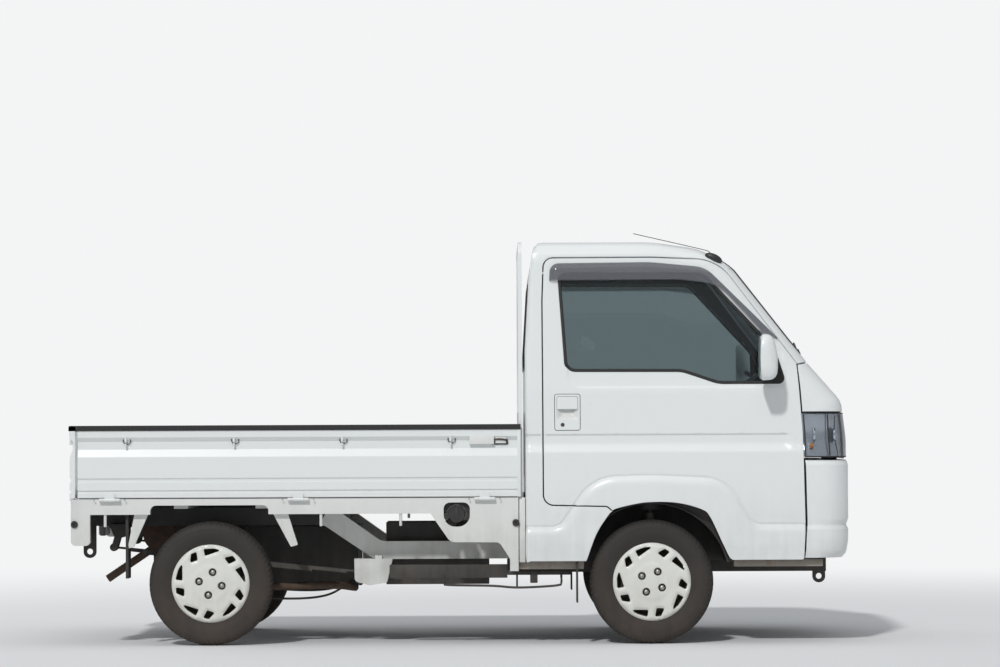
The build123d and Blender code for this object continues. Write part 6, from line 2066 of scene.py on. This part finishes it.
@dataclass
class Cabin:
    """Padded seats and the steering wheel."""

    kit: Kit
    hub: Point = (FRONT_X - 532.5, -340.0, 1045.0)
    rim_radius: float = 185.0
    seat_out: float = 347.5
    voxel: float = 0.008
    cloth_steps: int = 12
    cloth_travel: float = 0.009

    def build(self) -> None:
        """Builds the seats and the steering wheel."""
        pads = (
            self.cushion("seat_pad", (450.0, 0.0, 14.0), 118.0, 440.0, CAB_REAR_X + 170.0, 705.0),
            self.cushion("seat_back", (-82.0, 0.0, 520.0), 88.0, 430.0, CAB_REAR_X + 152.0, 800.0),
        )
        for piece in pads:
            self.puff(piece)
            other = piece.copy()
            other.data = piece.data.copy()
            other.data.transform(Matrix.Translation((0.0, 2 * self.seat_out * MM, 0.0)))
            other.name = piece.name.replace("right", "left")
            bpy.context.scene.collection.objects.link(other)
            for seat in (piece, other):
                nodes = ["seats"] if seat is pads[0] else []
                place(seat, Body.CHASSIS.value, "seat_cloth", *nodes)
        self.steering_wheel()

    def cushion(
        self, name: str, run: Point, thick: float, width: float, along: float, height: float,
    ) -> bpy.types.Object:
        """Makes one crowned pad.

        Args:
            name: Name of the pad.
            run: End of its middle line, from its start.
            thick: Its thickness.
            width: Its width across the truck.
            along: X of its start.
            height: Z of its start.

        Returns:
            The pad of the right seat.
        """
        line = np.array(run)
        up = np.cross(line / np.linalg.norm(line), (0.0, 1.0, 0.0))
        up = up if up[2] > 0.5 or up[0] > 0.5 else -up
        rows = []
        for share in np.linspace(0.0, 1.0, 25):
            close = (1.0 - abs(2 * share - 1.0) ** 7) ** 0.45 if 0.0 < share < 1.0 else 0.0
            points = []
            for turn in np.arange(40) * math.tau / 40:
                across = np.sign(math.cos(turn)) * abs(math.cos(turn)) ** 0.4
                rise = np.sign(math.sin(turn)) * abs(math.sin(turn)) ** 0.55
                above = 1.0 if rise > 0 else 0.0
                channel = 5.0 * math.exp(-((abs(across) - 0.55) / 0.05) ** 2) * above
                body = thick / 2 * (0.35 + 0.65 * close) * rise - channel
                bolster = 12.0 * max(0.0, abs(across) - 0.6) / 0.4 * above
                out = -self.seat_out + across * (width / 2) * (0.93 + 0.07 * close)
                root = line * share + np.array((along, out, height))
                points.append(root + up * (thick / 2 + body + bolster * close))
            rows.append(points)
        parts = MeshParts()
        loft(parts, rows)
        return self.kit.make(parts, f"{name}_right", ["Grey seat cloth"], 80.0)

    def puff(self, pad: bpy.types.Object) -> None:
        """Swells a pad by cloth simulation, with each point's travel capped."""
        remesh = pad.modifiers.new("even", "REMESH")
        remesh.mode = "VOXEL"
        remesh.voxel_size = self.voxel
        self.apply(pad)
        start = np.array([tuple(vertex.co) for vertex in pad.data.vertices])
        cloth = pad.modifiers.new("swell", "CLOTH")
        cloth.settings.use_pressure = True
        cloth.settings.uniform_pressure_force = 4.0
        cloth.settings.effector_weights.gravity = 0.0
        cloth.settings.quality = 4
        for step in range(self.cloth_steps):
            bpy.context.scene.frame_set(step + 1)
        self.apply(pad)
        move = np.array([tuple(vertex.co) for vertex in pad.data.vertices]) - start
        length = np.linalg.norm(move, axis=1, keepdims=True)
        end = start + move * np.minimum(1.0, self.cloth_travel / np.maximum(length, 1e-9))
        pad.data.vertices.foreach_set("co", end.reshape(-1))
        pad.data.polygons.foreach_set("use_smooth", [True] * len(pad.data.polygons))
        pad.data.update()
        bpy.context.scene.frame_set(1)

    @staticmethod
    def apply(pad: bpy.types.Object) -> None:
        """Turns a pad's modifiers into its mesh."""
        graph = bpy.context.evaluated_depsgraph_get()
        mesh = bpy.data.meshes.new_from_object(pad.evaluated_get(graph))
        pad.modifiers.clear()
        pad.data = mesh

    def steering_wheel(self) -> None:
        """Builds the rim, spokes, boss, column and stalks."""
        parts = MeshParts()
        axis = np.array((-0.62, 0.0, 0.785))
        axis /= np.linalg.norm(axis)
        hub = np.array(self.hub)
        boss = ((-44.0, 50.0), (-20.0, 54.0), (-8.0, 44.0), (-5.0, 0.0), (-44.0, 0.0))
        column = ((-430.0, 30.0), (-60.0, 36.0), (-46.0, 30.0), (-44.0, 0.0), (-430.0, 0.0))
        for profile, steps in ((torus(12.0, self.rim_radius, 12), 72), (boss, 32), (column, 24)):
            lathe(parts, self.hub, tuple(axis), profile, steps)
        side = np.cross(axis, (0.0, 1.0, 0.0))
        for turn in np.radians((90.0, 210.0, 330.0)):
            way = math.cos(turn) * side + math.sin(turn) * np.array((0.0, 1.0, 0.0))
            spoke = (hub + way * 40.0 - axis * 24.0, hub + way * 110.0 - axis * 14.0, hub + way * 180.0)
            tube(parts, spoke, 9.5, 10)
        root = hub - axis * 62.0
        for sign in (-1.0, 1.0):
            bends = ((0.0, 0.0, 0.0), (10.0, sign * 90.0, 12.0), (4.0, sign * 150.0, 26.0))
            tube(parts, [root + np.array(bend) for bend in bends], 5.0, 8)
        self.kit.fit(parts, "steering_wheel_rim", "Black plastic", nodes=["steering_wheel"], degrees=50.0)


@dataclass
class Trim:
    """Aerial, wipers and what hangs below the bed."""

    kit: Kit
    aerial_slope: float = -24.0
    # Foot and tip of each wiper: across, height
    wiper_ends: tuple = (((60.0, 1226.0), (-470.0, 1290.0)), ((560.0, 1226.0), (60.0, 1300.0)))

    def build(self) -> None:
        """Builds the loose fittings."""
        parts = MeshParts()
        slope = math.radians(self.aerial_slope)
        foot = [(-40.0 * math.cos(turn), 19.0 * math.sin(turn)) for turn in np.linspace(0.0, math.pi, 17)]
        lathe(parts, (FRONT_X - 597.0, -607.0, 1665.0), (math.cos(slope), 0.0, math.sin(slope)), foot, 32)
        tube(parts, (
            (FRONT_X - 600.0, -608.0, 1674.0), (FRONT_X - 616.0, -610.0, 1692.0),
            (FRONT_X - 660.0, -610.0, 1706.0), (FRONT_X - 945.0, -600.0, ROOF_Z + 28.0),
        ), 1.6, 8)
        self.kit.fit(parts, "aerial_mast", "Black plastic", nodes=["aerial"], degrees=40.0)
        self.wipers()
        self.underside()

    def wipers(self) -> None:
        """Builds two wipers that rest on the foot of the windscreen."""
        shell = CabShell(self.kit)
        parts = MeshParts()
        spindle = ((-6.0, 13.0), (10.0, 13.0), (14.0, 9.0), (14.0, 0.0), (-6.0, 0.0))
        for start, end in self.wiper_ends:
            places = shell.front_points(np.linspace(start, end, 24))
            normals = shell.wrap.normals(places)
            blade = places + normals * 6.0
            across = unit(np.cross(unit(np.gradient(blade, axis=0)), normals))
            sweep(parts, blade, across, normals, ((-4.0, 2.0), (4.0, 2.0), (3.0, 8.0), (-3.0, 8.0)))
            sweep(parts, blade, across, normals, ((-1.0, -5.0), (1.0, -5.0), (1.6, 2.5), (-1.6, 2.5)))
            arm = [blade[index] + normals[index] * rise for index, rise in ((0, 4.0), (6, 16.0), (13, 12.0))]
            tube(parts, arm, 4.0, 8)
            lathe(parts, tuple(places[0]), tuple(normals[0]), spindle, 24)
        self.kit.fit(parts, "wipers", "Black plastic", degrees=40.0)

    def underside(self) -> None:
        """Builds the axle stays, the brake cables, the side beam and the rod guard."""
        fit = self.kit.fit
        stays, cables = MeshParts(), MeshParts()
        for side in Side:
            tube(stays, (
                side.at(REAR_AXLE_X, 470.0, 262.0), side.at(-930.0, 470.0, 246.0),
                side.at(-800.0, 460.0, 244.0), side.at(-560.0, 420.0, 246.0), side.at(-470.0, 300.0, 232.0),
            ), 17.0, 14)
            tube(cables, (
                side.at(REAR_AXLE_X + 60.0, 500.0, 215.0), side.at(-790.0, 440.0, 190.0),
                side.at(-600.0, 380.0, 200.0), side.at(-480.0, 300.0, 262.0),
            ), 5.0, 8)
        fit(stays, "axle_stays", "Rusty steel in painted shade")
        fit(cables, "brake_cables", "Black rubber")
        parts = MeshParts()
        box_part(parts, (-310.0, -640.0, 284.0), (200.0, -600.0, 342.0))
        box_part(parts, (200.0, -640.0, 296.0), (480.0, -610.0, 316.0))
        box_part(parts, (298.0, -660.0, 262.0), (330.0, -600.0, 316.0))
        fit(parts, "side_beam", "Black underbody", bevel=3.0)
        parts = MeshParts()
        tube(parts, (
            (-76.0, -640.0, 300.0), (-74.0, -642.0, 262.0), (-50.0, -642.0, 254.0), (130.0, -642.0, 250.0),
            (250.0, -642.0, 242.0), (410.0, -642.0, 250.0), (432.0, -642.0, 262.0), (432.0, -640.0, 300.0),
        ), 5.0, 8)
        tube(parts, ((241.0, -642.0, 300.0), (241.0, -642.0, 244.0)), 4.0, 8)
        fit(parts, "rod_guard", "Black underbody")


@dataclass
class Studio:
    """Floor, lamps, world and the camera at the photograph's angle."""

    camera_place: Point = (0.172, -16.7, 0.92)
    focal_pixels: float = 3710.0
    pitch: float = 1.5
    roll: float = -0.25
    pale: tuple = (0.9, 0.905, 0.91, 1.0)
    floor_half: float = 60000.0

    def build(self, kit: Kit) -> None:
        """Sets everything up round the truck."""
        bpy.context.scene.view_settings.view_transform = "Standard"
        self.build_floor()
        self.build_world()
        self.sun((5.5, 17.0, -15.0), 1.7)
        self.lamp("sky_panel", (0.8, -1.5, 7.0), (0.0, 0.0, 0.6), 6.0, 60.0)
        self.lamp("far_panel", (-6.0, 6.0, 4.0), (0.0, 0.0, 0.9), 4.0, 80.0)
        self.build_camera()
        LOG.info("studio set up with %d finishes", len(kit.finish))

    def build_floor(self) -> None:
        """Makes the pale floor."""
        parts = MeshParts()
        corners = ((-1.0, -1.0, 0.0), (1.0, -1.0, 0.0), (1.0, 1.0, 0.0), (-1.0, 1.0, 0.0))
        grid = self.floor_half * np.array(corners)
        start = parts.add(grid, np.tile((0.0, 0.0, 1.0), (4, 1)))
        parts.face(range(start, start + 4))
        material, graph, shader = new_material("Pale floor")
        noise = graph.add("TexNoise", {"Scale": 3.0, "Detail": 5.0}).outputs[0]
        tone = graph.mix(noise, (0.78, 0.785, 0.79, 1.0), (0.83, 0.835, 0.84, 1.0))
        graph.link(tone, shader.inputs["Base Color"])
        shader.inputs["Roughness"].default_value = 0.9
        place = graph.add("TexCoord").outputs["Object"]
        reach = graph.add("VectorMath", {0: place}, operation="LENGTH").outputs["Value"]
        fade = graph.level(reach, 2.6, 9.0, interpolation_type="SMOOTHSTEP")
        share = graph.calc("MULTIPLY", fade, graph.add("LightPath").outputs["Is Camera Ray"])
        backdrop = graph.add("Emission", {"Color": self.pale}).outputs[0]
        blend = graph.add("MixShader", {0: share, 1: shader.outputs[0], 2: backdrop}).outputs[0]
        graph.link(blend, graph.tree.nodes["Material Output"].inputs["Surface"])
        parts.build("floor", [material])

    def build_world(self) -> None:
        """Makes a plain soft world, seen as a pale backdrop."""
        world = bpy.data.worlds.new("Soft studio")
        bpy.context.scene.world = world
        world.use_nodes = True
        graph = Graph(world.node_tree)
        background = world.node_tree.nodes["Background"]
        seen = graph.add("LightPath").outputs["Is Camera Ray"]
        graph.link(graph.mix(seen, (0.37, 0.382, 0.4, 1.0), self.pale), background.inputs["Color"])
        background.inputs["Strength"].default_value = 1.0

    @staticmethod
    def add_light(name: str, kind: str, energy: float, way: Vector) -> bpy.types.Object:
        """Adds a light that shines along a direction."""
        data = bpy.data.lights.new(name, kind)
        data.energy = energy
        light = bpy.data.objects.new(name, data)
        light.rotation_euler = way.to_track_quat("-Z", "Y").to_euler()
        bpy.context.scene.collection.objects.link(light)
        return light

    def sun(self, way: Point, strength: float) -> None:
        """Adds soft sunlight that shines along a direction."""
        self.add_light("sun", "SUN", strength, Vector(way)).data.angle = math.radians(4.0)

    def lamp(self, name: str, spot: Point, target: Point, size: float, power: float) -> None:
        """Adds a large soft lamp.

        Args:
            name: Its name.
            spot: Where it stands, in metres.
            target: What it points at, in metres.
            size: Length of its side in metres.
            power: Power in watts.
        """
        lamp = self.add_light(name, "AREA", power, Vector(target) - Vector(spot))
        lamp.data.shape = "SQUARE"
        lamp.data.size = size
        lamp.location = spot

    def build_camera(self) -> None:
        """Places the camera as the photograph's was."""
        data = bpy.data.cameras.new("camera")
        data.sensor_width = 36.0
        data.lens = self.focal_pixels * data.sensor_width / PHOTO_SIZE[0]
        data.clip_end = 200.0
        camera = bpy.data.objects.new("camera", data)
        pitch = Matrix.Rotation(math.radians(90.0 + self.pitch), 4, "X")
        roll = Matrix.Rotation(math.radians(self.roll), 4, "Z")
        camera.matrix_world = Matrix.Translation(self.camera_place) @ (pitch @ roll)
        bpy.context.scene.collection.objects.link(camera)
        bpy.context.scene.camera = camera


# CAD nodes that stay as they are, with the finish and edge rounding that each gets
KEPT_NODES = (
    ("cab_floor", "Cabin floor mat", 1.5), ("dashboard", "Grey cabin plastic", 6.0),
    ("bed_floor", "Worn bed paint", 1.5), ("rear_beam", "Dusty white paint", 3.0),
    ("bed_side_right", "Dusty white paint", 2.0), ("bed_side_left", "Dusty white paint", 2.0),
    ("guard_frame", "White body paint", 2.5), ("side_gate_right", "White body paint", 1.0),
    ("side_gate_left", "White body paint", 1.0), ("tailgate", "White body paint", 1.0),
    # The engine block's black is painted shade under the bed over dark paint.
    # The rear axle's near-black rust is partly painted shade under the bed.
    ("engine_block", "Black underbody", 6.0), ("rear_axle", "Rusty steel in painted shade", 1.5),
    ("fuel_tank", "Black underbody", 4.0), ("leaf_springs", "Black underbody", 0.8),
    # The black of the front suspension and the frame is partly painted shade under the bed and partly black
    # paint and dirt.
    ("front_suspension", "Black underbody", 1.0), ("silencer", "Rusty steel in painted shade", 1.0),
    ("frame", "Black underbody", 1.5), ("knuckle_right", "Dark steel", 1.0),
    ("knuckle_left", "Dark steel", 1.0),
)
# Regions of kept nodes: low and high corner in millimetres, with Y counted outwards
MUD_FLAP = ((REAR_AXLE_X - 368.0, 580.0, 280.0), (REAR_AXLE_X - 352.0, 702.0, 590.0))
GATE_TOP = ((-2000.0, 0.0, 926.5), (300.0, 800.0, 960.0))
KEPT_REGIONS = (
    ("frame", ((-615.0, 445.0, 235.0), (260.0, 600.0, 610.0)), "Dusty white paint"),
    ("bed_side_right", ((-76.0, 500.0, 506.0), (41.0, 721.0, 614.0)), "Black plastic"),
    ("bed_side_right", MUD_FLAP, "Black rubber"), ("bed_side_left", MUD_FLAP, "Black rubber"),
    ("side_gate_right", GATE_TOP, "Black rubber"), ("side_gate_left", GATE_TOP, "Black rubber"),
    ("tailgate", GATE_TOP, "Black rubber"),
)
KEPT_SHARP = math.radians(28.0)
KEPT_BEVEL = math.radians(32.0)


def dress_kept(kit: Kit) -> None:
    """Gives the CAD nodes that stay their finish, smooth shading and rounded edges."""
    for name, finish, bevel in KEPT_NODES:
        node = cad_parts[name]
        if not node.material_slots:
            node.data.materials.append(kit.finish[finish])
        for slot in node.material_slots:
            slot.material = kit.finish[finish]
        node.data.polygons.foreach_set("use_smooth", [True] * len(node.data.polygons))
        node.data.set_sharp_from_angle(angle=KEPT_SHARP)
        rounding = node.modifiers.new("edges", "BEVEL")
        rounding.width = bevel * MM
        rounding.segments = 2
        rounding.limit_method = "ANGLE"
        rounding.angle_limit = KEPT_BEVEL
        rounding.harden_normals = False
        LOG.info("%s keeps its solid, in %s", name, finish)
    for name, (low, high), finish in KEPT_REGIONS:
        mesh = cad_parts[name].data
        mesh.materials.append(kit.finish[finish])
        for polygon in mesh.polygons:
            centre = polygon.center / MM
            spot = (centre.x, abs(centre.y), centre.z)
            if all(bottom <= value <= top for bottom, value, top in zip(low, spot, high)):
                polygon.material_index = len(mesh.materials) - 1


def main() -> None:
    """Builds the truck's pieces in order, then the studio."""
    logging.basicConfig(level=logging.INFO, format="%(message)s")
    kit = Kit()
    for assembly in (CabShell, Doors, NoseFittings, Wheels, LoadBed, Cabin, Trim):
        assembly(kit).build()
    dress_kept(kit)
    Studio().build(kit)


if __name__ == "__main__":
    main()
